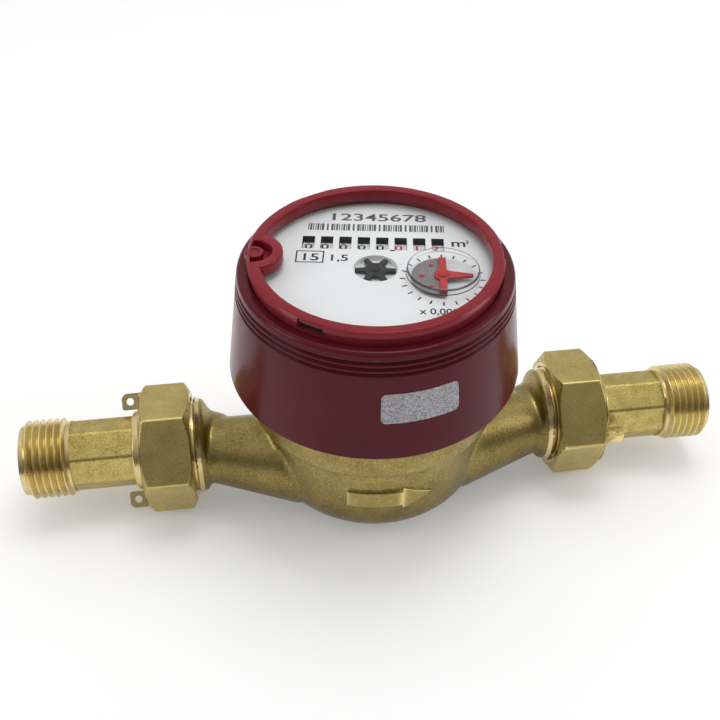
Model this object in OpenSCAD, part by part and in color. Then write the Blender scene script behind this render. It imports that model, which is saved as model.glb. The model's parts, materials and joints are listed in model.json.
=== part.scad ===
// Single-jet dry-dial water meter with two union couplings.
// Millimetres. The origin is the centre of the flat underside of the bowl.
// +X is the way the water flows, +Z is the axis of the register, -Y is the front.

/* [Body] */
// Length of the body between its spigot faces
body_length = 110; // [104:1:130]
// Height of the pipe axis over the flat underside
axis_h = 13; // [12.5:0.5:15]
// Diameter of the turbine chamber
chamber_d = 50; // [48:0.5:52]
// Height of the turbine chamber
chamber_h = 22.5; // [21:0.5:25]
// Thickness of the chamber's floor
floor_t = 3.5; // [2.5:0.25:4.5]
// Thickness of the bowl's wall
bowl_wall = 5; // [4:0.25:6]
// Radius between the bowl's wall and its underside
bowl_round = 13; // [8:0.5:15]
// Width of the ledge that seats the pressure plate
seat_w = 3.4; // [3:0.1:4]
// Thickness of the collar's wall
collar_wall = 4.1; // [3.6:0.1:5]
// Height of the collar from its step to its rim
collar_h = 16; // [15:0.5:20]
// Height of the step over the ledge of the pressure plate
step_rise = 2; // [0:0.25:3]
// Radius of an arm's neck beside the union
neck_r = 8.7; // [8.2:0.1:9.2]
// Radius of an arm where it runs into the bowl
root_r = 12.6; // [10:0.1:12.8]
// How far an arm's neck lies in front of the pipe axis
neck_lean = 2.4; // [0:0.1:3]
// How far an arm's root lies in front of the pipe axis
root_lean = 8; // [4:0.25:10]
// Height of the flow arrow's relief
arrow_relief = 0.9; // [0.4:0.1:1.2]
// Height of the flow arrow above the pipe axis
arrow_up = 5.2; // [3:0.1:7]
// Length of the flow arrow
arrow_length = 21; // [16:0.5:26]
// Height of the flow arrow's head
arrow_head_h = 7.2; // [5:0.2:9]

/* [Waterway] */
// Diameter of the waterway in spigots and tails
waterway_d = 13.5; // [12:0.25:14]
// Diameter of the slanted nozzle between an arm and the chamber
nozzle_d = 10; // [8:0.25:11]
// How far the nozzle's inner end lies in front of the pipe axis
nozzle_lean = 14; // [12:0.25:15]
// Length of the strainer basket
strainer_length = 9; // [7:0.5:10]
// Wall of the strainer basket
strainer_wall = 0.8; // [0.6:0.1:1]

/* [Unions] */
// Diameter of the spigot thread
spigot_d = 26.4; // [25:0.1:27]
// Length of the spigot thread
spigot_thread = 8; // [6.5:0.25:10]
// Across flats of the union nuts
nut_af = 30; // [30:0.5:34]
// Length of the union nuts
nut_length = 13.3; // [12:0.1:14]
// Thickness of the nut's lip behind the flange
nut_lip = 2.7; // [2:0.1:3.5]
// Reach of the sealing ears beyond the nut's outer face
ear_reach = 4.8; // [4:0.1:6]
// Thickness of the sealing ears
ear_t = 1.8; // [1.2:0.1:2.4]
// Diameter of the seal-wire holes
wire_d = 2; // [1.6:0.1:2.2]
// Turn of the inlet nut on the pipe axis
inlet_nut_turn = 140; // [0:1:360]
// Turn of the outlet nut on the pipe axis
outlet_nut_turn = 260; // [0:1:360]
// Thickness of the flat gaskets
gasket_t = 2; // [1:0.25:3]
// Length of a tail from its sealing face to its end
tail_length = 36.4; // [34:0.1:50]
// Diameter of the tail's flange
flange_d = 23.4; // [22.5:0.1:24]
// Thickness of the tail's flange
flange_t = 2.4; // [2:0.1:3]
// Diameter of the turned collar that carries the nut
tail_collar_d = 21; // [20.5:0.1:21.5]
// How far the turned collar shows beyond the nut
tail_collar_show = 2.2; // [1:0.1:3]
// Across flats of the tail's cast middle
tail_across = 17.6; // [17:0.1:19]
// Turn of the tail's eight flats on the pipe axis
cast_turn = 8; // [0:0.5:45]
// Diameter of the pipe thread
pipe_thread_d = 20.955; // [20:0.005:22]
// Length of the pipe thread
pipe_thread = 11.5; // [10:0.25:15]
// Chamfer at the end of the pipe thread
pipe_chamfer = 1.2; // [0.5:0.1:1.5]

/* [Turbine] */
// Diameter of the impeller
impeller_d = 43; // [38:0.5:44]
// Number of impeller blades
blade_count = 7; // [5:1:9]
// Thickness of the impeller blades
blade_t = 1.1; // [0.8:0.1:1.6]
// Height of the impeller blades
blade_h = 12.5; // [10:0.5:13]
// Diameter of the impeller's axle
axle_d = 1.6; // [1.4:0.1:2]
// Diameter of the ring magnets
magnet_d = 15; // [12:0.5:18]
// Height of the ring magnets
magnet_h = 3.6; // [3:0.1:4]

/* [Chamber lid] */
// Thickness of the pressure plate
plate_t = 4; // [3.4:0.1:5]
// Diameter of the plate's sealing cord
cord_d = 1.8; // [1.4:0.1:2]
// Height of the clamp ring
clamp_h = 6; // [5:0.25:8]
// Width of the clamp ring
clamp_w = 4.1; // [3.5:0.1:4.5]

/* [Cover and bezel] */
// Width that the cover stands out past the body's collar
skirt_w = 4.7; // [4.2:0.1:6]
// Thickness of the cover's wall
cover_wall = 2; // [1.6:0.1:2.2]
// Width of the shoulder round the bezel
shoulder_w = 2.7; // [2.2:0.1:3.5]
// Rise of the bezel over the shoulder
bezel_rise = 3.5; // [2.5:0.1:5]
// Width of the bezel's top
bezel_w = 2.6; // [2.2:0.1:3]
// Diameter of the seal plug
plug_d = 4.6; // [3.6:0.1:5]
// Width of the foil label
label_w = 18.7; // [14:0.1:26]
// Height of the foil label
label_h = 8; // [6:0.25:12]

/* [Register] */
// Turn of the register on its own axis
dial_turn = -9.5; // [-180:0.5:180]
// Wall of the register case
case_wall = 1.3; // [1:0.1:1.6]
// Height from the case's floor to its shoulder
case_neck_h = 14.1; // [13.9:0.1:18]
// Thickness of the dial
dial_t = 0.8; // [0.6:0.1:1.2]
// Thickness of the clear cap
cap_t = 1.2; // [1:0.1:1.6]
// Room under the clear cap
cap_room = 0.6; // [0.5:0.1:1.2]
// Diameter of the round lens over the pointer
lens_d = 17.4; // [16:0.2:18]
// Rise of the lens over the cap
lens_rise = 1.6; // [1.2:0.1:2.2]
// Place of the pointer to the right of the dial's middle
pointer_u = 16; // [15:0.1:17]
// Place of the pointer above the dial's middle
pointer_v = -3.9; // [-6:0.1:-2]
// Length of the pointer's arms
pointer_r = 7.2; // [6:0.1:7.2]
// Diameter of the well round the star wheel
star_well_d = 10.8; // [9:0.2:11.4]
// Number of the star wheel's arms
star_arms = 6; // [5:1:8]

/* [Counter] */
// Number of digit drums
drum_count = 8; // [7:1:8]
// Distance from one drum to the next
drum_pitch = 4.6; // [4.5:0.05:4.8]
// Width of a drum's digit band
band_w = 3; // [2.8:0.05:3.1]
// Diameter of a drum
drum_d = 9.2; // [8.8:0.1:9.6]
// Place of the drum row to the right of the dial's middle
drum_u = -0.85; // [-1.5:0.05:0]
// Place of the drum row above the dial's middle
drum_v = 10.5; // [9.8:0.1:11]
// Depth of the drums under the dial's face
drum_depth = 1.15; // [1.1:0.05:1.6]
// Width of a window
window_w = 3.1; // [2.6:0.1:3.3]
// Height of a window
window_h = 5.4; // [4.6:0.1:6]
// Gap between the drums and the plate under them
drum_clear = 2.25; // [1.4:0.05:2.6]
// Thickness of the plates that carry the train
frame_t = 1; // [0.8:0.1:1.4]
// Thickness of the train's wheels
wheel_t = 1.2; // [0.9:0.1:1.3]
// Diameter of the train's arbors
arbor_d = 1.2; // [1:0.1:1.4]

/* [Fits] */
// Radial clearance of a shaft that turns in a bore
run_gap = 0.06; // [0.03:0.01:0.09]
// Clearance between pieces that must not touch
free_gap = 0.4; // [0.3:0.05:0.6]
// Gap between faces that seat on each other
seat_gap = 0.05; // [0.02:0.01:0.1]

/* [Hidden] */
$fn = 96;
brass = "#b39242";
bright_brass = "#c9a850";
cover_red = "#7d1423";
bezel_red = "#a3182a";
steel = "#a9acb0";
white = "#e9e9e4";
dark = "#3a3d42";

// Heights of the body
seat_z = floor_t + chamber_h;
step_z = seat_z + step_rise;
rim_z = step_z + collar_h;
chamber_r = chamber_d / 2;
seat_r = chamber_r + seat_w;
bowl_r = chamber_r + bowl_wall;
collar_r = seat_r + collar_wall;
hook_depth = 1.2;
hook_h = 1.4;
hook_z = rim_z - hook_h - free_gap * 3;
face_x = body_length / 2;
neck_x = face_x - spigot_thread - 3;
root_x = chamber_r - 5;
shoulder_ring = 1.5;
spigot_r = spigot_d / 2;
waterway_r = waterway_d / 2;
nozzle_r = nozzle_d / 2;
strainer_flange = 1.2;
strainer_lip = 1.4;
nozzle_reach = 9;

// Stations along a union, measured outwards from the register's axis
gasket_x = face_x + seat_gap;
flange_x = gasket_x + gasket_t;
lip_x = flange_x + flange_t + seat_gap;
nut_out_x = lip_x + nut_lip;
nut_in_x = nut_out_x - nut_length;
collar_end_x = nut_out_x + tail_collar_show;
tail_end_x = flange_x + tail_length;
thread_x = tail_end_x - pipe_thread;
pipe_r = pipe_thread_d / 2;
relief_len = 1.4;
tail_collar_r = tail_collar_d / 2;
lip_bore_r = tail_collar_r + run_gap;
nut_corner_r = nut_af / 2 / cos(30);
ear_in_r = lip_bore_r + free_gap;
ear_out_r = nut_af / 2 + 0.4;

// Heights of the turbine
axle_r = axle_d / 2;
pivot_rise = 2;
impeller_z = floor_t + pivot_rise + 1;
blade_z = impeller_z + 1;
hub_r = axle_r + 2.6;
magnet_r = magnet_d / 2;
magnet_top = seat_z - 1;
cup_wall = 0.9;
plate_top = seat_z + plate_t;
socket_depth = 1.5;

// Radii and heights of the register
case_z = plate_top + free_gap;
clamp_in_r = seat_r - clamp_w;
neck_out_r = clamp_in_r - free_gap;
case_shoulder_z = case_z + case_neck_h;
train_z = case_shoulder_z + case_wall;
level_step = wheel_t + 0.8;
frame_z = train_z + frame_t + 3 * level_step + 1;
frame_top = frame_z + frame_t;
drum_r = drum_d / 2;
drum_z = frame_top + drum_r + drum_clear;
dial_top = drum_z + drum_r + drum_depth;
dial_z = dial_top - dial_t;
cap_z = dial_top + cap_room;
cap_top = cap_z + cap_t;
bezel_top = cap_top + 3;
shoulder_z = bezel_top - bezel_rise;

// Gears: pitch and tooth numbers
small_teeth = 8;
large_teeth = 24;
step_teeth = [10, 20];
drum_teeth = 20;
pointer_at = [pointer_u, pointer_v];
pointer_dist = norm(pointer_at);
// Three equal links span the way to the pointer along a shallow arc
train_link = pointer_dist * 0.3886;
train_mod = 2 * train_link / (small_teeth + large_teeth);
train_bend = acos((pointer_dist - train_link) / 2 / train_link);
pointer_dir = atan2(pointer_v, pointer_u);
first_at = polar(train_link, pointer_dir - train_bend);
second_at = first_at + polar(train_link, pointer_dir);
drum_mod = 2 * (drum_r - 0.6) / drum_teeth;
transfer_link = drum_mod * (drum_teeth + small_teeth) / 2;
last_band_u = drum_u + (drum_count - 1) / 2 * drum_pitch + band_w / 2;
crown_t = 0.6;
crown_tooth_h = 1.95 * drum_mod;
drive_at = [last_band_u + crown_t + 1.1 * drum_mod + drum_mod * small_teeth / 2, drum_v];
// Two equal links span the way from the pointer to the drum drive
drive_span = norm(drive_at - pointer_at);
drive_link = drive_span * 0.5075;
drive_mod = 2 * drive_link / (step_teeth[0] + step_teeth[1]);
drive_bend = acos(drive_span / 2 / drive_link);
drive_dir = atan2(drive_at[1] - pointer_at[1], drive_at[0] - pointer_at[0]);
middle_at = pointer_at + polar(drive_link, drive_dir + drive_bend);

// The case is as wide as what stands farthest out in it
arbor_r = arbor_d / 2;
drum_axle_r = 0.8;
pinion_axle_r = 0.5;
bracket_t = 1.2;
transfer_dir = -40;
transfer_at = polar(transfer_link, transfer_dir);
post_w = 1.2;
bracket_back = transfer_at[0] + post_w;
bracket_right_u = drive_at[0] + drum_mod * (small_teeth / 2 + 0.85) + free_gap;
post_right_u = last_band_u;
bracket_left_u = drum_u - drum_count / 2 * drum_pitch - free_gap - bracket_t;
wheel_reach = norm(drive_at) + drive_mod * (step_teeth[1] / 2 + 0.85);
bracket_reach = norm([bracket_right_u + bracket_t, drum_v + 2.2]);
left_reach = norm([bracket_left_u, drum_v + bracket_back]);
lens_reach = pointer_dist + lens_d / 2 + 2;
case_room = 0.5;
case_in_r = max(wheel_reach, bracket_reach, left_reach, lens_reach) + case_room;
case_r = case_in_r + case_wall;
dial_ledge = 0.6;
dial_r = case_in_r + dial_ledge;
cap_r = dial_r - seat_gap;
bezel_skirt = 1.05;
bezel_in_r = case_r + seat_gap * 2;
bezel_r = bezel_in_r + bezel_skirt;
bezel_low_z = dial_z - 1.5;
shoulder_r = bezel_r + shoulder_w;
cover_low_r = collar_r + skirt_w;
skirt_drop = 1.8;
cover_low_z = hook_z - skirt_drop;
groove_w = 0.5;
groove_z = [for (i = [0:2]) shoulder_z - 2.6 - i * 1.5];
pillar_r = 1.1;
pillar_inset = 2.5;
pillar_ring = case_in_r - pillar_inset;
pillar_dirs = [100, 220, 300];

function polar(r, a) = [r * cos(a), r * sin(a)];

// Points of an arc from angle a0 to angle a1
function arc(centre, r, a0, a1, n = 10) = [for (i = [0:n]) centre + polar(r, a0 + (a1 - a0) * i / n)];

// Outline of a spur gear with straight-sided teeth, one tooth centred on the angle phase
function gear_outline(teeth, mod, phase) =
    let (pitch = 360 / teeth, tip = mod * (teeth / 2 + 0.85), root = mod * (teeth / 2 - 1.2))
    [for (i = [0:teeth - 1], k = [[root, -0.27], [tip, -0.09], [tip, 0.09], [root, 0.27]])
        polar(k[0], phase + (i + k[1]) * pitch)];

// Phase of a gear that meshes with another one in the direction dir
function mesh_phase(dir, teeth, phase, other_teeth) =
    dir + 180 + ((dir - phase) * teeth / 360 + 0.5) * 360 / other_teeth;

function direction(a, b) = atan2(b[1] - a[1], b[0] - a[0]);

// Underside of the train's wheels on level i
function level_z(i) = train_z + frame_t + 0.8 + i * level_step;

// Place of a drum's middle along its axle
function drum_mid(i) = drum_u + (i - 1 - (drum_count - 1) / 2) * drum_pitch;

first_phase = mesh_phase(direction([0, 0], first_at), small_teeth, 0, large_teeth);
second_phase = mesh_phase(direction(first_at, second_at), small_teeth, 0, large_teeth);
pointer_phase = mesh_phase(direction(second_at, pointer_at), small_teeth, 0, large_teeth);
middle_phase = mesh_phase(direction(pointer_at, middle_at), step_teeth[0], 0, step_teeth[1]);
transfer_phase = mesh_phase(transfer_dir, drum_teeth, 0, small_teeth);
drive_phase = mesh_phase(direction(middle_at, drive_at), step_teeth[0], 0, step_teeth[1]);

// Puts children on a union's axis, with local z running outwards on side s
module on_pipe(s) {
    translate([0, 0, axis_h])
        mirror([s < 0 ? 1 : 0, 0, 0])
            rotate([0, 90, 0])
                children();
}

// Puts children in the register's own turn
module in_register() {
    rotate([0, 0, dial_turn])
        children();
}

// Puts children on the drum axle, with local x to the back, y up and z to the right
module on_drum_axle() {
    in_register()
        translate([0, drum_v, drum_z])
            rotate([90, 0, 90])
                children();
}

// A ring of rectangular section
module ring(r_in, r_out, z, h) {
    rotate_extrude()
        translate([r_in, z])
            square([r_out - r_in, h]);
}

module bowl() {
    rotate_extrude()
        polygon(concat(
            [[0, 0]],
            arc([bowl_r - bowl_round, bowl_round], bowl_round, -90, 0),
            [[bowl_r, step_z - 1], [collar_r - 0.8, step_z - 0.4], [collar_r, step_z + 0.4]],
            [[collar_r, hook_z - free_gap], [collar_r - hook_depth, hook_z - free_gap]],
            [[collar_r - hook_depth, hook_z + hook_h + free_gap], [collar_r, hook_z + hook_h + free_gap]],
            [[collar_r, rim_z - 0.5], [collar_r - 0.5, rim_z], [0, rim_z]]
        ));
}

// An arm runs from its neck into the bowl, leaning to the front
module arm(s) {
    run = [neck_x - root_x, root_lean - neck_lean];
    translate([s * neck_x, -neck_lean, axis_h])
        rotate([0, 0, s > 0 ? 180 + atan2(run[1], run[0]) : -atan2(run[1], run[0])])
            rotate([0, 90, 0])
                cylinder(h = norm(run), r1 = neck_r, r2 = root_r);
}

module spigot(s) {
    ring_x = face_x - spigot_thread;
    on_pipe(s)
        rotate_extrude()
            polygon(concat(
                [[0, neck_x - 4], [neck_r - 1, neck_x - 4], [neck_r + 0.3, neck_x]],
                [[spigot_r - 1.6, ring_x - shoulder_ring], [spigot_r - 0.8, ring_x - shoulder_ring]],
                [[spigot_r - 0.8, ring_x], [spigot_r, ring_x + 0.6]],
                [[spigot_r, face_x - 0.8], [spigot_r - 0.8, face_x], [0, face_x]]
            ));
}

module flow_arrow() {
    shaft = arrow_length * 0.65;
    shaft_h = arrow_head_h * 0.7;
    intersection() {
        translate([-arrow_length / 2, -chamber_r, axis_h + arrow_up])
            rotate([90, 0, 0])
                linear_extrude(bowl_wall + 3)
                    polygon([
                        [0, -shaft_h / 2], [shaft, -shaft_h / 2], [shaft, -arrow_head_h / 2],
                        [arrow_length, 0],
                        [shaft, arrow_head_h / 2], [shaft, shaft_h / 2], [0, shaft_h / 2]
                    ]);
        cylinder(r = bowl_r + arrow_relief, h = step_z);
    }
}

// The slanted way from a spigot into the front of the chamber
module waterway(s) {
    elbow_x = neck_x - 1;
    inner_x = chamber_r - nozzle_reach;
    run = [elbow_x - inner_x, nozzle_lean];
    on_pipe(s)
        translate([0, 0, elbow_x])
            cylinder(r = waterway_r, h = face_x);
    translate([s * elbow_x, 0, axis_h])
        sphere(r = waterway_r);
    translate([s * elbow_x, 0, axis_h])
        rotate([0, 0, s > 0 ? 180 + atan2(run[1], run[0]) : -atan2(run[1], run[0])])
            rotate([0, 90, 0])
                cylinder(r = nozzle_r, h = norm(run));
}

module meter_body() {
    color(brass)
        difference() {
            union() {
                bowl();
                flow_arrow();
                for (s = [-1, 1]) {
                    arm(s);
                    spigot(s);
                }
            }
            translate([0, 0, floor_t])
                cylinder(r = chamber_r, h = rim_z);
            translate([0, 0, seat_z])
                cylinder(r = seat_r, h = rim_z);
            for (s = [-1, 1])
                waterway(s);
            on_pipe(-1)
                translate([0, 0, face_x - strainer_flange])
                    cylinder(r = waterway_r + strainer_lip, h = strainer_flange * 2);
            translate([0, 0, floor_t - pivot_rise])
                cylinder(r = axle_r + 0.7, h = pivot_rise * 2);
        }
}

// Pivot socket pressed in the chamber's floor
module lower_pivot() {
    color(steel)
        difference() {
            union() {
                translate([0, 0, floor_t - pivot_rise])
                    cylinder(r = axle_r + 0.7, h = pivot_rise);
                translate([0, 0, floor_t])
                    cylinder(r1 = axle_r + 1.6, r2 = axle_r + 0.8, h = pivot_rise);
            }
            translate([0, 0, floor_t + pivot_rise - socket_depth])
                cylinder(r = axle_r + run_gap, h = socket_depth * 2);
        }
}

module inlet_strainer() {
    slot_rows = 6;
    outer_r = waterway_r - seat_gap;
    color(white)
        on_pipe(-1)
            difference() {
                union() {
                    translate([0, 0, face_x - strainer_length])
                        cylinder(r = outer_r, h = strainer_length);
                    translate([0, 0, face_x - strainer_flange])
                        cylinder(r = waterway_r + strainer_lip - seat_gap, h = strainer_flange);
                }
                translate([0, 0, face_x - strainer_length + strainer_wall])
                    cylinder(r = outer_r - strainer_wall, h = strainer_length);
                for (i = [-2:2])
                    translate([i * 2.1 - 0.6, -outer_r * 0.62, face_x - strainer_length - 1])
                        cube([1.2, outer_r * 1.24, strainer_wall + 2]);
                for (i = [0:slot_rows - 1])
                    rotate([0, 0, (i + 0.5) * 360 / slot_rows])
                        translate([0, -0.7, face_x - strainer_length + 2])
                            cube([outer_r * 2, 1.4, strainer_length - 2 - strainer_flange - 1]);
            }
}

module impeller() {
    cup_r = magnet_r + seat_gap + cup_wall;
    cup_z = magnet_top - magnet_h - 1;
    color(white)
        difference() {
            union() {
                translate([0, 0, impeller_z])
                    cylinder(r = hub_r, h = magnet_top - impeller_z);
                translate([0, 0, cup_z])
                    cylinder(r = cup_r, h = magnet_top - cup_z);
                for (i = [0:blade_count - 1])
                    rotate([0, 0, i * 360 / blade_count])
                        translate([hub_r - 1, -blade_t / 2, blade_z])
                            cube([impeller_d / 2 - hub_r + 1, blade_t, blade_h]);
                ring(hub_r - 0.5, impeller_d / 2 - 2, blade_z + blade_h / 2 - 0.5, 1);
            }
            ring(hub_r, magnet_r + seat_gap, cup_z + 1, magnet_h + 1);
            translate([0, 0, impeller_z - 1])
                cylinder(r = axle_r, h = seat_z);
        }
}

module impeller_axle() {
    bottom = floor_t + pivot_rise - socket_depth + 0.3;
    color(steel)
        translate([0, 0, bottom])
            cylinder(r = axle_r, h = seat_z + socket_depth - 0.3 - bottom);
}

module impeller_magnet() {
    color(dark)
        ring(hub_r + seat_gap, magnet_r, magnet_top - magnet_h, magnet_h);
}

module pressure_plate() {
    cord_mid = chamber_r + seat_w / 2;
    rib_t = 1.4;
    rib_h = 2;
    rib_in_r = magnet_r + 5;
    rib_out_r = chamber_r - 2;
    color(dark)
        difference() {
            union() {
                translate([0, 0, seat_z])
                    cylinder(r = seat_r - seat_gap, h = plate_t);
                for (i = [0:5])
                    rotate([0, 0, i * 60 + 30])
                        translate([rib_in_r, -rib_t / 2, seat_z - rib_h / 2])
                            cube([rib_out_r - rib_in_r, rib_t, rib_h]);
            }
            ring(cord_mid - cord_d / 2 - 0.1, cord_mid + cord_d / 2 + 0.1, seat_z - 1, cord_d + 1.1);
            translate([0, 0, seat_z - 1])
                cylinder(r = axle_r + run_gap, h = socket_depth + 1);
            ring(magnet_r + 3, clamp_in_r - 2, plate_top - 1, 2);
        }
}

module plate_o_ring() {
    color(dark)
        rotate_extrude()
            translate([chamber_r + seat_w / 2, seat_z + cord_d / 2 + seat_gap])
                circle(r = cord_d / 2, $fn = 32);
}

module clamp_ring() {
    notch = 3;
    color(bright_brass)
        difference() {
            ring(clamp_in_r, seat_r - seat_gap, plate_top, clamp_h);
            for (i = [0:3])
                rotate([0, 0, i * 90 + 45])
                    translate([clamp_in_r - 1, -notch / 2, plate_top + clamp_h - 2])
                        cube([clamp_w - 0.5, notch, 3]);
        }
}

module lower_cover() {
    low_in = cover_low_r - cover_wall;
    top_in = shoulder_r - cover_wall;
    hole_r = bezel_r + seat_gap * 3;
    deck_z = shoulder_z - cover_wall;
    hook_in = collar_r - hook_depth + free_gap;
    color(cover_red)
        difference() {
            rotate_extrude()
                polygon(concat(
                    [[low_in, cover_low_z], [cover_low_r - 0.4, cover_low_z], [cover_low_r, cover_low_z + 0.4]],
                    [[shoulder_r + 0.4, shoulder_z - 1.2]],
                    arc([shoulder_r - 0.8, shoulder_z - 1.2], 1.2, 0, 90, 6),
                    [[hole_r, shoulder_z], [hole_r, deck_z], [top_in, deck_z]],
                    [[low_in, hook_z + hook_h], [hook_in, hook_z + hook_h], [hook_in, hook_z], [low_in, hook_z]]
                ));
            for (z = groove_z)
                ring(cone_r(z) - 0.35, cone_r(z) + 2, z - groove_w / 2, groove_w);
        }
}

// Radius of the cover's outer cone at the height z
function cone_r(z) =
    let (z0 = cover_low_z + 0.4, z1 = shoulder_z - 1.2)
    cover_low_r + (shoulder_r + 0.4 - cover_low_r) * (z - z0) / (z1 - z0);

// The bezel's rim bends inwards round a notch for the seal plug
plug_room = 2.1;
notch_r = plug_d / 2 + plug_room;
plug_ring = bezel_r - 1.3;
plug_dir = 181;
notch_floor = 0.6;
// Three bayonet lugs round the rim, with a gap before each
lug_count = 3;
lug_gap = 12;
lug_rise = 0.4;
lug_dir = 243;

module bezel_ring() {
    inner = bezel_r - bezel_w;
    plug_at = polar(plug_ring, plug_dir);
    lug_arc = 360 / lug_count - lug_gap;
    color(bezel_red)
        in_register()
            difference() {
                union() {
                    rotate_extrude()
                        polygon([
                            [inner, cap_top], [bezel_in_r, cap_top], [bezel_in_r, bezel_low_z],
                            [bezel_r, bezel_low_z], [bezel_r, bezel_top - 0.4],
                            [bezel_r - 0.4, bezel_top], [inner + 0.3, bezel_top], [inner, bezel_top - 0.3]
                        ]);
                    intersection() {
                        translate(concat(plug_at, cap_top))
                            cylinder(r = notch_r + bezel_w, h = bezel_top - cap_top);
                        cylinder(r = bezel_r - 0.2, h = bezel_top);
                    }
                    for (i = [0:lug_count - 1])
                        rotate([0, 0, lug_dir + lug_gap / 2 + i * 360 / lug_count])
                            rotate_extrude(angle = lug_arc)
                                polygon([
                                    [bezel_r - 0.5, bezel_top - 2], [bezel_r, bezel_top - 2],
                                    [bezel_r + lug_rise, bezel_top - 1.5], [bezel_r + lug_rise, bezel_top - 0.5],
                                    [bezel_r + lug_rise - 0.4, bezel_top - 0.1], [bezel_r - 0.5, bezel_top - 0.1]
                                ]);
                }
                translate(concat(plug_at, cap_top + notch_floor))
                    cylinder(r = notch_r, h = bezel_top);
                for (i = [0:lug_count - 1])
                    rotate([0, 0, lug_dir + i * 360 / lug_count])
                        translate([bezel_r - 0.7, -2.6, shoulder_z + 0.3])
                            cube([2, 5.2, 1.6]);
            }
}

module seal_plug() {
    plug_h = bezel_top - cap_top - notch_floor - 0.3;
    color(bezel_red)
        in_register()
            translate(concat(polar(plug_ring, plug_dir), cap_top + notch_floor))
                difference() {
                    cylinder(d = plug_d, h = plug_h);
                    translate([0, 0, plug_h - 0.4])
                        cylinder(d = plug_d * 0.6, h = 1);
                }
}

// Foil wrapped on the cover's cone to the right of the front
module security_label() {
    label_dir = -81;
    label_mid = 0.5;
    label_lift = 0.12;
    mid_z = cover_low_z + (shoulder_z - cover_low_z) * label_mid;
    half = label_w / 2 / cone_r(mid_z) * 180 / PI;
    z0 = mid_z - label_h / 2;
    z1 = mid_z + label_h / 2;
    color(steel)
        rotate([0, 0, label_dir - half])
            rotate_extrude(angle = 2 * half)
                polygon([
                    [cone_r(z0) + 0.01, z0], [cone_r(z0) + label_lift, z0],
                    [cone_r(z1) + label_lift, z1], [cone_r(z1) + 0.01, z1]
                ]);
}

module register_case() {
    neck_in_r = neck_out_r - case_wall;
    color(white)
        difference() {
            union() {
                rotate_extrude()
                    polygon([
                        [0, case_z], [neck_out_r, case_z], [neck_out_r, case_shoulder_z],
                        [case_r, case_shoulder_z], [case_r, dial_top], [dial_r, dial_top],
                        [dial_r, dial_z], [case_in_r, dial_z], [case_in_r, train_z],
                        [neck_in_r, train_z], [neck_in_r, case_z + case_wall], [0, case_z + case_wall]
                    ]);
                translate([0, 0, case_z])
                    cylinder(r = arbor_r + 1.6, h = case_wall + 1);
            }
            translate([0, 0, case_z + 0.8])
                cylinder(r = arbor_r + run_gap, h = case_wall + 2);
        }
}

module register_cap() {
    lens_r = lens_d / 2;
    lens_wall = 0.8;
    color("lightcyan", 0.35)
        in_register()
            difference() {
                union() {
                    ring(cap_r - 0.9, cap_r, dial_top, cap_room);
                    translate([0, 0, cap_z])
                        cylinder(r = cap_r, h = cap_t);
                    translate(concat(pointer_at, cap_z))
                        cylinder(r = lens_r, h = cap_t + lens_rise);
                }
                translate(concat(pointer_at, cap_z - 1))
                    cylinder(r = lens_r - lens_wall, h = cap_t + lens_rise + 1 - lens_wall);
            }
}

module dial_plate() {
    star_floor = 1;
    star_depth = 2.2;
    well_r = star_well_d / 2;
    color(white)
        in_register()
            difference() {
                union() {
                    translate([0, 0, dial_z])
                        cylinder(r = dial_r - seat_gap, h = dial_t);
                    translate([0, 0, dial_top - star_depth])
                        cylinder(r = well_r + 0.7, h = star_depth);
                }
                translate([0, 0, dial_top - star_depth + star_floor - 0.2])
                    cylinder(r = well_r, h = star_depth);
                translate([0, 0, dial_top - star_depth - 1])
                    cylinder(r = arbor_r + run_gap, h = star_depth * 2);
                translate(concat(pointer_at, dial_z - 1))
                    cylinder(r = arbor_r + run_gap, h = dial_t + 2);
                for (i = [1:drum_count])
                    translate([drum_mid(i) - window_w / 2, drum_v - window_h / 2, dial_z - 1])
                        cube([window_w, window_h, dial_t + 2]);
            }
}

module train_plate() {
    bearings = [[0, 0], first_at, second_at, pointer_at, middle_at, drive_at];
    color(bright_brass)
        in_register()
            difference() {
                translate([0, 0, train_z])
                    cylinder(r = case_in_r - seat_gap, h = frame_t);
                for (at = bearings)
                    translate(concat(at, train_z - 1))
                        cylinder(r = arbor_r + run_gap, h = frame_t + 2);
            }
}

module train_pillars() {
    color(bright_brass)
        in_register()
            for (dir = pillar_dirs)
                translate(concat(polar(pillar_ring, dir), train_z + frame_t))
                    cylinder(r = pillar_r, h = frame_z - train_z - frame_t, $fn = 32);
}

// A cheek that stands on the frame at u and holds the drum axle
module axle_cheek(u) {
    foot = frame_top - drum_z - 0.2;
    on_drum_axle()
        translate([0, 0, u])
            difference() {
                linear_extrude(bracket_t)
                    polygon([[-2.2, foot], [2.2, foot], [1.4, 1.6], [-1.4, 1.6]]);
                translate([0, 0, -1])
                    cylinder(r = drum_axle_r, h = bracket_t + 2, $fn = 32);
            }
}

// A post that stands on the frame at u and holds the carry pinions' axle
module pinion_post(u) {
    foot = frame_top - drum_z - 0.2;
    on_drum_axle()
        translate([0, 0, u])
            difference() {
                linear_extrude(bracket_t)
                    polygon([
                        [transfer_at[0] - 0.9, foot], [bracket_back, foot],
                        [bracket_back, transfer_at[1] + 1], [transfer_at[0] - 0.2, transfer_at[1] + 1]
                    ]);
                translate(concat(transfer_at, -1))
                    cylinder(r = pinion_axle_r, h = bracket_t + 2, $fn = 32);
            }
}

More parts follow.
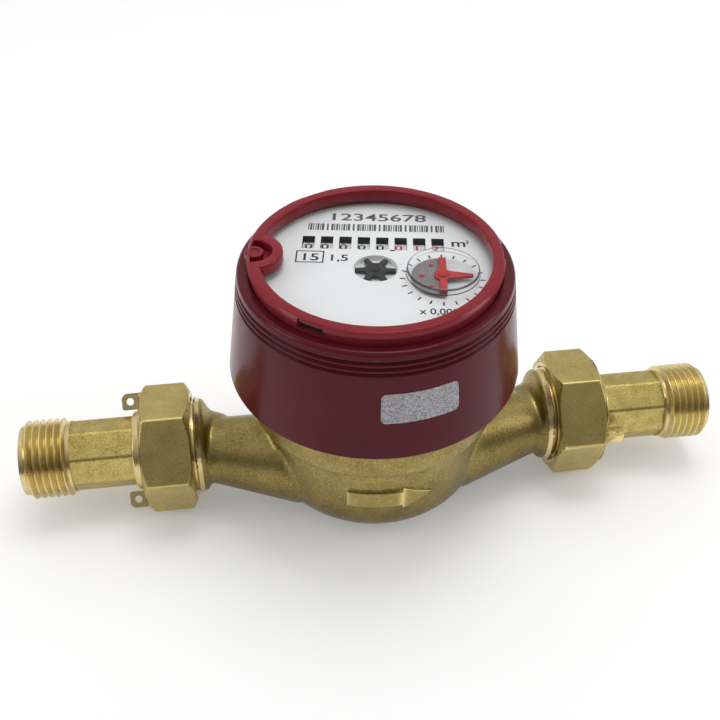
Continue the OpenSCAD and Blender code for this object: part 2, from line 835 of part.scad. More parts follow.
module counter_frame() {
    color(steel)
        union() {
            in_register()
                difference() {
                    translate([0, 0, frame_z])
                        cylinder(r = case_in_r - case_room / 2, h = frame_t);
                    for (at = [[0, 0], first_at, second_at, pointer_at, middle_at, drive_at])
                        translate(concat(at, frame_z - 1))
                            cylinder(r = arbor_r + run_gap, h = frame_t + 2);
                }
            axle_cheek(bracket_left_u);
            axle_cheek(bracket_right_u);
            pinion_post(bracket_left_u);
            pinion_post(post_right_u);
        }
}

module drum_axle() {
    color(steel)
        on_drum_axle()
            translate([0, 0, bracket_left_u])
                cylinder(r = drum_axle_r, h = bracket_right_u + bracket_t - bracket_left_u, $fn = 32);
}

module pinion_axle() {
    color(steel)
        on_drum_axle()
            translate(concat(transfer_at, bracket_left_u))
                cylinder(r = pinion_axle_r, h = post_right_u + bracket_t - bracket_left_u, $fn = 32);
}

module driver_magnet() {
    color(dark)
        ring(arbor_r, magnet_r, case_z + case_wall + 1.2, magnet_h);
}

// A spur gear with its teeth centred on phase
module gear(teeth, mod, phase, z) {
    translate([0, 0, z])
        linear_extrude(wheel_t)
            polygon(gear_outline(teeth, mod, phase));
}

// An arbor between two heights
module arbor(z0, z1) {
    translate([0, 0, z0])
        cylinder(r = arbor_r, h = z1 - z0, $fn = 32);
}

star_z = dial_top - 1.1;

module centre_arbor() {
    color(steel)
        in_register()
            union() {
                arbor(case_z + 0.8 + seat_gap, star_z + 1);
                gear(small_teeth, train_mod, 0, level_z(0));
            }
}

module star_wheel() {
    hub = star_well_d / 4;
    tip = star_well_d / 2 - free_gap;
    color(dark)
        in_register()
            translate([0, 0, star_z])
                difference() {
                    linear_extrude(0.8)
                        union() {
                            circle(r = hub, $fn = 48);
                            for (i = [0:star_arms - 1])
                                rotate(i * 360 / star_arms)
                                    polygon([[0, -1], [tip, -0.55], [tip, 0.55], [0, 1]]);
                        }
                    translate([0, 0, -1])
                        cylinder(r = arbor_r, h = 3, $fn = 32);
                }
}

// One arbor of the train with a wheel and a pinion
module train_wheel(at, z0, z1, wheel, wheel_level, pinion, pinion_level) {
    in_register()
        translate(concat(at, 0)) {
            arbor(z0, z1);
            gear(wheel[0], wheel[1], wheel[2], level_z(wheel_level));
            gear(pinion[0], pinion[1], pinion[2], level_z(pinion_level));
        }
}

module first_wheel() {
    color(white)
        train_wheel(first_at, train_z + 0.1, frame_top - 0.1,
            [large_teeth, train_mod, first_phase], 0, [small_teeth, train_mod, 0], 1);
}

module second_wheel() {
    color(white)
        train_wheel(second_at, train_z + 0.1, frame_top - 0.1,
            [large_teeth, train_mod, second_phase], 1, [small_teeth, train_mod, 0], 2);
}

pointer_low = dial_top + 0.5;

module pointer_wheel() {
    color(white)
        train_wheel(pointer_at, train_z + 0.1, pointer_low + 1.4,
            [large_teeth, train_mod, pointer_phase], 2, [step_teeth[0], drive_mod, 0], 0);
}

module middle_wheel() {
    color(white)
        train_wheel(middle_at, train_z + 0.1, frame_top - 0.1,
            [step_teeth[1], drive_mod, middle_phase], 0, [step_teeth[0], drive_mod, 0], 1);
}

// The last arbor, with the pinion that drives the crown of the last drum
module drum_drive_wheel() {
    pinion_low = drum_z - drum_r - 0.2;
    pinion_h = 1.4;
    color(white)
        in_register()
            translate(concat(drive_at, 0)) {
                arbor(train_z + 0.1, pinion_low + pinion_h);
                gear(step_teeth[1], drive_mod, drive_phase, level_z(1));
                translate([0, 0, pinion_low])
                    linear_extrude(pinion_h)
                        polygon(gear_outline(small_teeth, drum_mod, 180));
            }
}

// Half disc under the pointer, riveted to it
module pointer_half_disc() {
    disc_r = pointer_r + 0.3;
    color(steel)
        in_register()
            translate(concat(pointer_at, pointer_low))
                difference() {
                    linear_extrude(0.4)
                        difference() {
                            circle(r = disc_r);
                            translate([0.8, -disc_r * 2])
                                square(disc_r * 4);
                        }
                    translate([0, 0, -1])
                        cylinder(r = arbor_r, h = 3, $fn = 32);
                }
}

module litre_pointer() {
    hub_r = 2.1;
    boss_r = 1.3;
    tip_w = 0.9;
    blade_w = 3.4;
    cross_w = 1.8;
    cross_r = pointer_r - 0.3;
    color(bezel_red)
        in_register()
            translate(concat(pointer_at, pointer_low + 0.4))
                difference() {
                    union() {
                        linear_extrude(0.7)
                            union() {
                                circle(r = hub_r, $fn = 48);
                                translate([-cross_w / 2, -cross_r])
                                    square([cross_w, 2 * cross_r]);
                                polygon([
                                    [0, -blade_w / 2], [pointer_r, -tip_w / 2],
                                    [pointer_r, tip_w / 2], [0, blade_w / 2]
                                ]);
                            }
                        cylinder(r = boss_r, h = 1.1, $fn = 32);
                    }
                    translate([0, 0, -1])
                        cylinder(r = arbor_r, h = 2, $fn = 32);
                }
}

// A digit drum: the band, the carry disc with two teeth on its left, and on its
// right the wheel for the carry pinion or, on the last drum, the crown
module number_drum(i) {
    carry_t = 0.5;
    wheel_w = 0.7;
    carry_r = transfer_link - drum_mod * (small_teeth / 2 + 0.85) - 0.25;
    last = i == drum_count;
    color(white)
        on_drum_axle()
            translate([0, 0, drum_mid(i)])
                difference() {
                    union() {
                        translate([0, 0, -band_w / 2])
                            cylinder(r = drum_r, h = band_w);
                        if (i > 1)
                            translate([0, 0, -band_w / 2 - carry_t])
                                linear_extrude(carry_t + 0.1)
                                    union() {
                                        circle(r = carry_r);
                                        for (a = [171, 189])
                                            rotate(a)
                                                polygon([[carry_r - 0.5, -0.35], [drum_r - 0.3, -0.15],
                                                    [drum_r - 0.3, 0.15], [carry_r - 0.5, 0.35]]);
                                    }
                        if (!last)
                            translate([0, 0, band_w / 2])
                                linear_extrude(wheel_w)
                                    polygon(gear_outline(drum_teeth, drum_mod, 0));
                        if (last)
                            drum_crown();
                    }
                    translate([0, 0, -drum_pitch])
                        cylinder(r = drum_axle_r + run_gap, h = drum_pitch * 2, $fn = 48);
                }
}

// Crown teeth on the right face of the last drum
module drum_crown() {
    tooth_w = 0.33 * PI * drum_mod;
    tooth_r = [drum_r - 1.2, drum_r];
    translate([0, 0, band_w / 2])
        cylinder(r = drum_r, h = crown_t);
    for (i = [0:drum_teeth - 1])
        rotate([0, 0, -90 + (i + 0.5) * 360 / drum_teeth])
            translate([tooth_r[0], 0, band_w / 2 + crown_t])
                rotate([90, 0, 90])
                    linear_extrude(tooth_r[1] - tooth_r[0] - 0.1)
                        polygon([
                            [-tooth_w * 0.6, -0.1], [tooth_w * 0.6, -0.1],
                            [tooth_w * 0.28, crown_tooth_h], [-tooth_w * 0.28, crown_tooth_h]
                        ]);
}

// A carry pinion between drum i and the next lower drum
module transfer_pinion(i) {
    gap_mid = (drum_mid(i) + drum_mid(i + 1)) / 2;
    width = drum_pitch - band_w - 0.3;
    color(white)
        on_drum_axle()
            translate(concat(transfer_at, gap_mid - width / 2))
                difference() {
                    linear_extrude(width)
                        polygon(gear_outline(small_teeth, drum_mod, transfer_phase));
                    translate([0, 0, -1])
                        cylinder(r = pinion_axle_r + run_gap, h = width + 2, $fn = 32);
                }
}

module gasket(s) {
    color(dark)
        on_pipe(s)
            ring(waterway_r + 0.3, flange_d / 2 - 0.2, gasket_x, gasket_t);
}

module tailpiece(s) {
    cast_r = tail_across / 2;
    color(bright_brass)
        on_pipe(s)
            difference() {
                union() {
                    translate([0, 0, flange_x])
                        cylinder(d = flange_d, h = flange_t);
                    rotate_extrude()
                        polygon([
                            [0, flange_x], [tail_collar_r, flange_x], [tail_collar_r, collar_end_x - 0.5],
                            [tail_collar_r - 0.5, collar_end_x], [0, collar_end_x]
                        ]);
                    intersection() {
                        translate([0, 0, collar_end_x - 1])
                            rotate([0, 0, cast_turn])
                                cylinder(r = cast_r / cos(22.5), h = thread_x - collar_end_x + 2, $fn = 8);
                        translate([0, 0, collar_end_x - 1])
                            cylinder(r = cast_r * 1.06, h = thread_x - collar_end_x + 2);
                    }
                    rotate_extrude()
                        polygon([
                            [0, thread_x - relief_len], [pipe_r - 0.9, thread_x - relief_len],
                            [pipe_r - 0.9, thread_x], [pipe_r, thread_x],
                            [pipe_r, tail_end_x - pipe_chamfer], [pipe_r - pipe_chamfer, tail_end_x],
                            [0, tail_end_x]
                        ]);
                }
                translate([0, 0, flange_x - 1])
                    cylinder(r = waterway_r, h = tail_length + 2);
            }
}

// A lug on the nut's outer face, pierced for the seal wire
module sealing_ear() {
    difference() {
        translate([ear_in_r, ear_t / 2, nut_out_x - 0.5])
            rotate([90, 0, 0])
                linear_extrude(ear_t)
                    polygon([
                        [0, 0], [ear_out_r - ear_in_r, 0], [ear_out_r - ear_in_r, ear_reach - 0.5],
                        [ear_out_r - ear_in_r - 1, ear_reach + 0.5], [0.4, ear_reach + 0.5], [0, ear_reach]
                    ]);
        translate([(ear_in_r + ear_out_r) / 2, 0, nut_out_x + ear_reach * 0.55])
            rotate([90, 0, 0])
                cylinder(d = wire_d, h = ear_t * 2, center = true, $fn = 32);
    }
}

module union_nut(s, turn) {
    chamfer = nut_corner_r - nut_af / 2 + 0.3;
    color(brass)
        on_pipe(s)
            rotate([0, 0, turn]) {
                difference() {
                    intersection() {
                        translate([0, 0, nut_in_x])
                            cylinder(r = nut_corner_r, h = nut_length, $fn = 6);
                        rotate_extrude()
                            polygon([
                                [0, nut_in_x], [nut_corner_r - chamfer, nut_in_x],
                                [nut_corner_r + 0.2, nut_in_x + chamfer * 0.6],
                                [nut_corner_r + 0.2, nut_out_x - chamfer * 0.6],
                                [nut_corner_r - chamfer, nut_out_x], [0, nut_out_x]
                            ]);
                    }
                    translate([0, 0, nut_in_x - 1])
                        cylinder(r = spigot_r + run_gap, h = lip_x - nut_in_x + 1);
                    translate([0, 0, nut_in_x - 1])
                        cylinder(r = lip_bore_r, h = nut_length + 2);
                }
                for (a = [0, 180])
                    rotate([0, 0, a])
                        sealing_ear();
            }
}

meter_body();
lower_pivot();
inlet_strainer();
pressure_plate();
plate_o_ring();
clamp_ring();
impeller();
impeller_axle();
impeller_magnet();
lower_cover();
bezel_ring();
seal_plug();
security_label();
register_case();
register_cap();
dial_plate();
train_plate();
train_pillars();
counter_frame();
drum_axle();
pinion_axle();
driver_magnet();
centre_arbor();
star_wheel();
first_wheel();
second_wheel();
pointer_wheel();
litre_pointer();
pointer_half_disc();
middle_wheel();
drum_drive_wheel();
for (i = [1:drum_count])
    number_drum(i);
for (i = [1:drum_count - 1])
    transfer_pinion(i);
gasket(-1);  // inlet_gasket
gasket(1);  // outlet_gasket
tailpiece(-1);  // inlet_tailpiece
tailpiece(1);  // outlet_tailpiece
union_nut(-1, inlet_nut_turn);  // inlet_nut
union_nut(1, outlet_nut_turn);  // outlet_nut
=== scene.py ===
"""Dresses a single-jet water meter: brass castings, a red moulded head and a printed counter dial."""

import json
import logging
import math
from dataclasses import dataclass, field
from enum import Enum
from typing import Callable, ClassVar, Iterable, Optional, Sequence

import bmesh
import bpy
from mathutils import Matrix, Vector

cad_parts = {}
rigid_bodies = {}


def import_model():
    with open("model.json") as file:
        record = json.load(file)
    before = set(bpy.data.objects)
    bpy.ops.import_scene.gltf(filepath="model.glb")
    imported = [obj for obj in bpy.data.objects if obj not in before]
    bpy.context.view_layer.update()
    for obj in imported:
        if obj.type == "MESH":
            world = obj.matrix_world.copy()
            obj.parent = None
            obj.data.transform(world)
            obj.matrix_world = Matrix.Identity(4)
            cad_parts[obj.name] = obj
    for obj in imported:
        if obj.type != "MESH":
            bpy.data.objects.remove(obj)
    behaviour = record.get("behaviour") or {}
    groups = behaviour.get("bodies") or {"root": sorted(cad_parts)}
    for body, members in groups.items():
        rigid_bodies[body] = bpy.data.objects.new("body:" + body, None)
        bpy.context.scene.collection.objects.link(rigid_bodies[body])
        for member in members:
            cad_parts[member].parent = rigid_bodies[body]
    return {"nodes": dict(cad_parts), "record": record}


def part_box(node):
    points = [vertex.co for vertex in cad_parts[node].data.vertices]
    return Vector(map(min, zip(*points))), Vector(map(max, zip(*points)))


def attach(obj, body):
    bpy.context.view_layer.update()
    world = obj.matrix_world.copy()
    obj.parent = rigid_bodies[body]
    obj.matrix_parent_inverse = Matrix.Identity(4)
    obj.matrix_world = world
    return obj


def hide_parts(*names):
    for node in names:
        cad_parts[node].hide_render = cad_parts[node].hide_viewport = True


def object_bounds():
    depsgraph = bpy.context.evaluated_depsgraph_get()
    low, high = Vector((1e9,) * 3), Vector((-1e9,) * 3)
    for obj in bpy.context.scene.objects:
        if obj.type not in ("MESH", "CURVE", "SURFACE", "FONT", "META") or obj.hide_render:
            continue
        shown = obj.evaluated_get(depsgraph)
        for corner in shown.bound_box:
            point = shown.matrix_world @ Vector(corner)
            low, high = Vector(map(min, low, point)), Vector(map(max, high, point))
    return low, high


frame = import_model()
CAD_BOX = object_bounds()

LOG = logging.getLogger("water_meter")
MM = 0.001
Colour = tuple[float, float, float]
Point = tuple[float, float]
Socket = bpy.types.NodeSocket
Edge = bmesh.types.BMEdge


class Side(Enum):
    """The two ends of the pipe, with the sign of X that each lies on."""

    INLET = -1
    OUTLET = 1


class Anchor(Enum):
    """Which end of a printed line sits on its place."""

    LEFT = "LEFT"
    CENTRE = "CENTER"


class Layout:
    """Places that several pieces share, in millimetres and degrees."""

    PIPE_HEIGHT = 13.0
    FRONT = -90.0
    DIAL_TURN = -9.5
    POINTER: Point = (16.0, -3.9)
    WINDOW_ROW = 10.5


@dataclass(frozen=True)
class Line:
    """A printed line: where its foot stands, the height of a capital in millimetres, and its stretch.

    CAPITAL is a capital's height in the typeface's own units, STROKE how far its outline is widened.
    """

    CAPITAL: ClassVar[float] = 0.729
    STROKE: ClassVar[float] = 0.014

    text: str
    at: Point
    size: float
    stretch: float = 1.0
    anchor: Anchor = Anchor.CENTRE


class ShaderBench:
    """Builds one material, node by node, on millimetre object coordinates."""

    def __init__(self, name: str) -> None:
        """Starts a material with a plain shader.

        Args:
            name: The material's name.
        """
        self.material = bpy.data.materials.new(name)
        self.material.use_nodes = True
        self.tree = self.material.node_tree
        self.shader = self.tree.nodes["Principled BSDF"]

    def add(self, kind: str, settings: Optional[dict] = None, **inputs: object) -> bpy.types.Node:
        """Adds a node and sets or links its inputs.

        Args:
            kind: The node's type name.
            settings: Properties of the node itself.
            inputs: Input values by socket name, with _ for a space. A socket is linked.

        Returns:
            The new node.
        """
        node = self.tree.nodes.new(kind)
        for key, value in (settings or {}).items():
            setattr(node, key, value)
        for key, value in inputs.items():
            self.feed(node.inputs[key.replace("_", " ")], value)
        return node

    def feed(self, socket: Socket, value: object) -> None:
        """Links a socket, or sets its constant."""
        if isinstance(value, Socket):
            self.tree.links.new(value, socket)
        else:
            socket.default_value = value

    def set(self, **inputs: object) -> None:
        """Sets or links inputs of the shader, with _ for a space in a name."""
        for key, value in inputs.items():
            self.feed(self.shader.inputs[key.replace("_", " ")], value)

    def coords(self, scale: Sequence[float] = (1, 1, 1), turn: Sequence[float] = (0, 0, 0)) -> Socket:
        """Object coordinates in millimetres.

        Args:
            scale: Stretch along each axis.
            turn: Turn of the pattern, in degrees.

        Returns:
            The vector socket.
        """
        source = self.add("ShaderNodeTexCoord").outputs["Object"]
        mapping = self.add("ShaderNodeMapping", {"vector_type": "POINT"}, Vector=source)
        mapping.inputs["Scale"].default_value = [s / MM for s in scale]
        mapping.inputs["Rotation"].default_value = [math.radians(t) for t in turn]
        return mapping.outputs["Vector"]

    def noise(self, vector: Socket, size: float, detail: float = 3) -> Socket:
        """Cloudy noise.

        Args:
            vector: Where it is read.
            size: Size of a feature, in millimetres.
            detail: Number of finer layers.

        Returns:
            The value socket.
        """
        made = self.add("ShaderNodeTexNoise", None, Vector=vector, Scale=1 / size, Detail=detail)
        return made.outputs["Fac"]

    def ramp(self, value: Socket, low: Colour, high: Colour, span: Point = (0.3, 0.7)) -> Socket:
        """Colours a value.

        Args:
            value: The value that is coloured.
            low: Colour at the start of the span.
            high: Colour at its end.
            span: The two values between which the colour changes.

        Returns:
            The colour socket.
        """
        node = self.add("ShaderNodeValToRGB", None, Fac=value)
        for stop, at, colour in zip(node.color_ramp.elements, span, (low, high)):
            stop.position = at
            stop.color = (*colour, 1)
        return node.outputs["Color"]

    def spread(self, value: Socket, low: float, high: float, span: Point = (0.3, 0.7)) -> Socket:
        """Maps a value from a span to a range of numbers.

        Args:
            value: The value that is mapped.
            low: Result at the start of the span.
            high: Result at its end.
            span: The two values between which it changes.

        Returns:
            The value socket.
        """
        node = self.add("ShaderNodeMapRange", None, Value=value, To_Min=low, To_Max=high)
        node.inputs["From Min"].default_value, node.inputs["From Max"].default_value = span
        return node.outputs["Result"]

    def blend(self, factor: Socket, first: object, second: object, mode: str = "MIX") -> Socket:
        """Mixes two colours.

        Args:
            factor: Share of the second.
            first: A colour or its socket.
            second: A colour or its socket.
            mode: How they mix.

        Returns:
            The colour socket.
        """
        node = self.add("ShaderNodeMix", {"data_type": "RGBA", "blend_type": mode})
        self.feed(node.inputs[0], factor)
        for socket, value in ((node.inputs[6], first), (node.inputs[7], second)):
            self.feed(socket, value if isinstance(value, Socket) else (*value, 1))
        return node.outputs[2]

    def bump(self, height: Socket, depth: float, strength: float = 1.0) -> None:
        """Turns a height into a bump on the shader's normal.

        Args:
            height: Height from 0 to 1.
            depth: What a height of 1 means, in millimetres.
            strength: How strongly it shows.
        """
        node = self.add("ShaderNodeBump", None, Height=height, Strength=strength, Distance=depth * MM)
        self.set(Normal=node.outputs["Normal"])

    def worn_edge(self, span: Point = (0.52, 0.58), most: float = 1.0) -> Socket:
        """A value that is highest on sharp outer edges and 0 elsewhere.

        Args:
            span: The two sharpnesses between which it grows.
            most: Its highest value.

        Returns:
            The value socket.
        """
        return self.spread(self.add("ShaderNodeNewGeometry").outputs["Pointiness"], 0, most, span)


@dataclass(frozen=True)
class Finish:
    """A finish with the record's slot that it stands for."""

    name: str
    slot: str
    colour: Colour
    shade: Colour
    roughness: float
    patch: float = 6.0
    grain: float = 0.35
    depth: float = 0.01

    def build(self) -> bpy.types.Material:
        """Makes the material."""
        bench = ShaderBench(self.name)
        self.dress(bench)
        return bench.material

    def dress(self, bench: ShaderBench) -> None:
        """A matte moulding: a faint cloud in its colour and a fine grain."""
        place = bench.coords()
        bench.set(Base_Color=bench.ramp(bench.noise(place, self.patch, 4), self.shade, self.colour))
        fine = bench.noise(place, self.grain, 3)
        bench.set(Roughness=bench.spread(fine, self.roughness - 0.06, self.roughness + 0.06))
        bench.set(Specular_IOR_Level=0.25)
        bench.bump(fine, self.depth)


@dataclass(frozen=True)
class CastBrass(Finish):
    """Cast and blasted brass: grainy, blotched, with edges rubbed bright."""

    rubbed: Colour = (0.86, 0.68, 0.27)
    # Share of the colour kept at the bottom; below 1 it paints shade that darkens the casting towards the
    # bottom.
    foot: float = 1.0
    rub: float = 1.0

    def dress(self, bench: ShaderBench) -> None:
        """A slow cloud and fine sparkle in the colour, painted shade darkening it towards the bottom, two
        sizes of grain in the bump, bright edges.
        """
        place = bench.coords()
        cloud = bench.ramp(bench.noise(place, self.patch, 3), self.shade, self.colour, (0.38, 0.62))
        fine = bench.noise(place, self.grain, 2)
        sparkle = bench.spread(fine, 0, 0.5, (0.55, 0.72))
        grainy = bench.blend(sparkle, cloud, self.rubbed)
        pits = bench.spread(bench.noise(place, self.grain * 1.7, 2), 0, 0.55, (0.55, 0.7))
        dusty = bench.blend(pits, grainy, tuple(0.45 * c for c in self.shade))
        # Painted shade: the colour is multiplied down towards the bottom of the casting, to the share foot at
        # 3 mm and below.
        height = bench.add("ShaderNodeSeparateXYZ", None, Vector=place).outputs["Z"]
        shaded_underside = bench.blend(1.0, dusty, bench.spread(height, self.foot, 1, (3, 25)), "MULTIPLY")
        edge = bench.worn_edge(most=self.rub)
        bench.set(Base_Color=bench.blend(edge, shaded_underside, self.rubbed), Metallic=1.0)
        bench.set(Roughness=bench.spread(fine, self.roughness + 0.08, self.roughness - 0.08))
        bench.bump(fine, self.depth, 0.9)


@dataclass(frozen=True)
class TurnedBrass(Finish):
    """Brass turned on a lathe about the pipe's axis: bright, with fine tool rings."""

    ring: float = 0.16

    def dress(self, bench: ShaderBench) -> None:
        """Tool rings across X in the bump and the gloss, tarnish in the colour."""
        place = bench.coords()
        bench.set(
            Base_Color=bench.ramp(bench.noise(place, self.patch, 4), self.shade, self.colour),
            Metallic=1.0,
        )
        rings = bench.add(
            "ShaderNodeTexWave",
            {"wave_type": "BANDS", "bands_direction": "X"},
            Vector=place,
            Scale=1 / self.ring / 6,
            Distortion=1.2,
            Detail=2,
        ).outputs["Fac"]
        bench.set(Roughness=bench.spread(rings, self.roughness - 0.05, self.roughness + 0.08, (0, 1)))
        bench.bump(rings, self.depth, 0.5)


@dataclass(frozen=True)
class GlossMoulding(Finish):
    """A glossy coloured moulding with a faint skin texture."""

    gloss: float = 0.5

    def dress(self, bench: ShaderBench) -> None:
        """Clouded colour, paler rubbed edges, a slow orange-peel and fine dust in the gloss."""
        place = bench.coords()
        cloud = bench.ramp(bench.noise(place, self.patch, 3), self.shade, self.colour, (0.35, 0.65))
        pale = tuple(0.8 * c + 0.03 for c in self.colour)
        edge = bench.worn_edge((0.54, 0.68))
        bench.set(Base_Color=bench.blend(edge, cloud, pale))
        dust = bench.noise(place, self.grain, 5)
        bench.set(Roughness=bench.spread(dust, self.roughness - 0.04, self.roughness + 0.06))
        bench.set(Specular_IOR_Level=self.gloss)
        bench.bump(bench.noise(place, self.grain * 3, 2), self.depth)


@dataclass(frozen=True)
class ClearMoulding(Finish):
    """A clear moulding that is denser and shinier where it is seen at a slant."""

    face: float = 0.008
    rim: float = 0.6

    def dress(self, bench: ShaderBench) -> None:
        """See-through face on, dense at a slant, with faint scuffs in the gloss."""
        place = bench.coords()
        scuff = bench.noise(place, self.grain, 5)
        bench.set(
            Base_Color=bench.ramp(bench.noise(place, self.patch, 2), self.shade, self.colour),
            Roughness=bench.spread(scuff, self.roughness, self.roughness + 0.05),
            IOR=1.5,
        )
        slant = bench.add("ShaderNodeLayerWeight", None, Blend=0.4).outputs["Facing"]
        bench.set(Alpha=bench.spread(slant, self.face, self.rim, (0.62, 1.0)))


@dataclass(frozen=True)
class Foil(Finish):
    """Silver foil embossed all over with small wandering marks."""

    tint: Colour = (0.34, 0.27, 0.29)

    def dress(self, bench: ShaderBench) -> None:
        """Marks in tone, gloss and bump, with a faint warm tint that comes and goes."""
        place = bench.coords(scale=(1, 1, 1.5), turn=(0, 28, 0))
        marks = bench.add(
            "ShaderNodeTexNoise", None, Vector=place, Scale=1 / self.grain, Detail=3, Distortion=1.6
        ).outputs["Fac"]
        tone = bench.ramp(marks, self.shade, self.colour, (0.4, 0.58))
        warm = bench.spread(bench.noise(bench.coords(), self.patch, 2), 0, 0.5, (0.5, 0.65))
        bench.set(Base_Color=bench.blend(warm, tone, self.tint), Metallic=0.6)
        bench.set(Roughness=bench.spread(marks, self.roughness + 0.1, self.roughness - 0.06))
        bench.bump(marks, self.depth, 0.6)


@dataclass(frozen=True)
class BrushedSteel(Finish):
    """Bright steel with short brush marks."""

    def dress(self, bench: ShaderBench) -> None:
        """Marks stretched along X in tone, gloss and bump."""
        marks = bench.noise(bench.coords(scale=(0.12, 1, 1)), self.grain, 4)
        bench.set(
            Base_Color=bench.ramp(marks, self.shade, self.colour),
            Metallic=1.0,
            Roughness=bench.spread(marks, self.roughness - 0.08, self.roughness + 0.08),
        )
        bench.bump(marks, self.depth, 0.5)


class Finishes:
    """All finishes of the meter, each made once."""

    # The cast brass finishes are one metal in different tones. The darker cast and body tones are partly
    # painted shade, where the bowl sits under the cover. The lighter blasted and rough tones are partly
    # painted light on the nuts and tails, besides their real blasted and rough skins.
    CAST = CastBrass(
        "cast_brass", "cast_brass", (0.345, 0.268, 0.093), (0.275, 0.206, 0.066),
        roughness=0.36, patch=7, grain=0.34, depth=0.05,
    )
    # This finish paints shade on the body: its colour darkens towards the bottom of the casting through foot.
    BODY = CastBrass(
        "body_brass", "cast_brass", (0.36, 0.28, 0.096), (0.285, 0.213, 0.068),
        roughness=0.36, patch=7, grain=0.34, depth=0.05, foot=0.42, rub=0.12,
    )
    BLASTED = CastBrass(
        "blasted_brass", "cast_brass", (0.53, 0.42, 0.148), (0.45, 0.35, 0.112),
        roughness=0.36, patch=6, grain=0.3, depth=0.05,
    )
    ROUGH = CastBrass(
        "rough_brass", "turned_brass", (0.58, 0.46, 0.155), (0.47, 0.365, 0.112),
        roughness=0.34, patch=3, grain=0.36, depth=0.08,
    )
    TURNED = TurnedBrass(
        "turned_brass", "turned_brass", (0.76, 0.63, 0.32), (0.64, 0.52, 0.24),
        roughness=0.24, patch=5, grain=0.2, depth=0.01,
    )
    COVER = GlossMoulding(
        "cover_moulding", "cover_plastic", (0.115, 0.008, 0.016), (0.098, 0.0065, 0.013),
        roughness=0.2, patch=14, grain=0.25, depth=0.004, gloss=0.18,
    )
    BEZEL = GlossMoulding(
        "bezel_moulding", "bezel_plastic", (0.26, 0.0105, 0.021), (0.225, 0.0085, 0.017),
        roughness=0.2, patch=9, grain=0.25, depth=0.004, gloss=0.25,
    )
    FOIL = Foil(
        "embossed_foil", "foil", (0.48, 0.48, 0.5), (0.13, 0.13, 0.145),
        roughness=0.34, patch=2.6, grain=0.5, depth=0.015,
    )
    CLEAR = ClearMoulding(
        "clear_moulding", "clear_plastic", (0.97, 0.98, 0.98), (0.92, 0.95, 0.96),
        roughness=0.03, patch=8, grain=0.5,
    )
    # Painted shade: a dark, nearly opaque finish for rings on the lens's edges, in place of the dark lines
    # that refraction draws there.
    RIM = ClearMoulding(
        "clear_rim", "clear_plastic", (0.05, 0.03, 0.04), (0.025, 0.014, 0.018),
        roughness=0.05, patch=3, grain=0.4, face=0.85, rim=0.98,
    )
    DIAL = Finish(
        "dial_card", "dial_plastic", (0.84, 0.86, 0.87), (0.81, 0.83, 0.84),
        roughness=0.45, patch=9, grain=0.2, depth=0.002,
    )
    INK = Finish(
        "dial_ink", "black_plastic", (0.025, 0.025, 0.03), (0.015, 0.015, 0.018),
        roughness=0.5, patch=1.2, grain=0.12, depth=0.002,
    )
    GREY_INK = Finish(
        "grey_ink", "black_plastic", (0.13, 0.13, 0.13), (0.09, 0.09, 0.09),
        roughness=0.5, patch=0.8, grain=0.12, depth=0.002,
    )
    RED_INK = Finish(
        "red_ink", "pointer_red", (0.55, 0.04, 0.04), (0.45, 0.03, 0.03),
        roughness=0.5, patch=1.2, grain=0.12, depth=0.002,
    )
    DRUM = Finish(
        "drum_white", "drum_plastic", (0.82, 0.82, 0.8), (0.75, 0.75, 0.73),
        roughness=0.45, patch=3, grain=0.2, depth=0.003,
    )
    WHITE = Finish(
        "natural_moulding", "white_plastic", (0.8, 0.8, 0.76), (0.7, 0.7, 0.66),
        roughness=0.45, patch=5, grain=0.25, depth=0.006,
    )
    BLACK = Finish(
        "dark_moulding", "black_plastic", (0.03, 0.03, 0.03), (0.02, 0.02, 0.02),
        roughness=0.4, patch=2, grain=0.2, depth=0.006,
    )
    GREY = Finish(
        "grey_moulding", "steel", (0.24, 0.235, 0.235), (0.2, 0.195, 0.195),
        roughness=0.45, patch=2, grain=0.2, depth=0.006,
    )
    POINTER = Finish(
        "pointer_moulding", "pointer_red", (0.5, 0.03, 0.03), (0.43, 0.024, 0.024),
        roughness=0.38, patch=2, grain=0.25, depth=0.004,
    )
    RUBBER = Finish(
        "seal_rubber", "seal_rubber", (0.035, 0.035, 0.036), (0.02, 0.02, 0.021),
        roughness=0.7, patch=2, grain=0.3, depth=0.02,
    )
    STEEL = BrushedSteel(
        "bright_steel", "steel", (0.6, 0.6, 0.61), (0.42, 0.42, 0.43),
        roughness=0.33, patch=2, grain=0.5, depth=0.006,
    )
    FERRITE = Finish(
        "dark_ferrite", "ferrite", (0.075, 0.075, 0.08), (0.05, 0.05, 0.055),
        roughness=0.55, patch=1.5, grain=0.25, depth=0.02,
    )

    ON_NODES = (
        CAST, TURNED, COVER, BEZEL, FOIL, CLEAR, DIAL, WHITE, DRUM, BLACK, RUBBER, STEEL, FERRITE, POINTER
    )
    BY_SLOT = {finish.slot: finish for finish in ON_NODES}
    made: dict[str, bpy.types.Material] = {}

    @classmethod
    def material(cls, finish: Finish) -> bpy.types.Material:
        """The material of a finish, made at its first use."""
        if finish.name not in cls.made:
            cls.made[finish.name] = finish.build()
        return cls.made[finish.name]


def linked(name: str, data: bpy.types.ID) -> bpy.types.Object:
    """Puts data in the scene as an object."""
    made = bpy.data.objects.new(name, data)
    bpy.context.scene.collection.objects.link(made)
    return made


def moved(x: float, y: float, z: float = 0.0) -> Matrix:
    """A move, in millimetres."""
    return Matrix.Translation(Vector((x, y, z)) * MM)


def turned(degrees: float) -> Matrix:
    """A turn about the register's axis."""
    return Matrix.Rotation(math.radians(degrees), 4, "Z")


def rectangle(at: Point, size: Point) -> list[Point]:
    """The corners of a rectangle with its centre and size, counterclockwise."""
    (x, y), (w, h) = at, (size[0] / 2, size[1] / 2)
    return [(x - w, y - h), (x + w, y - h), (x + w, y + h), (x - w, y + h)]


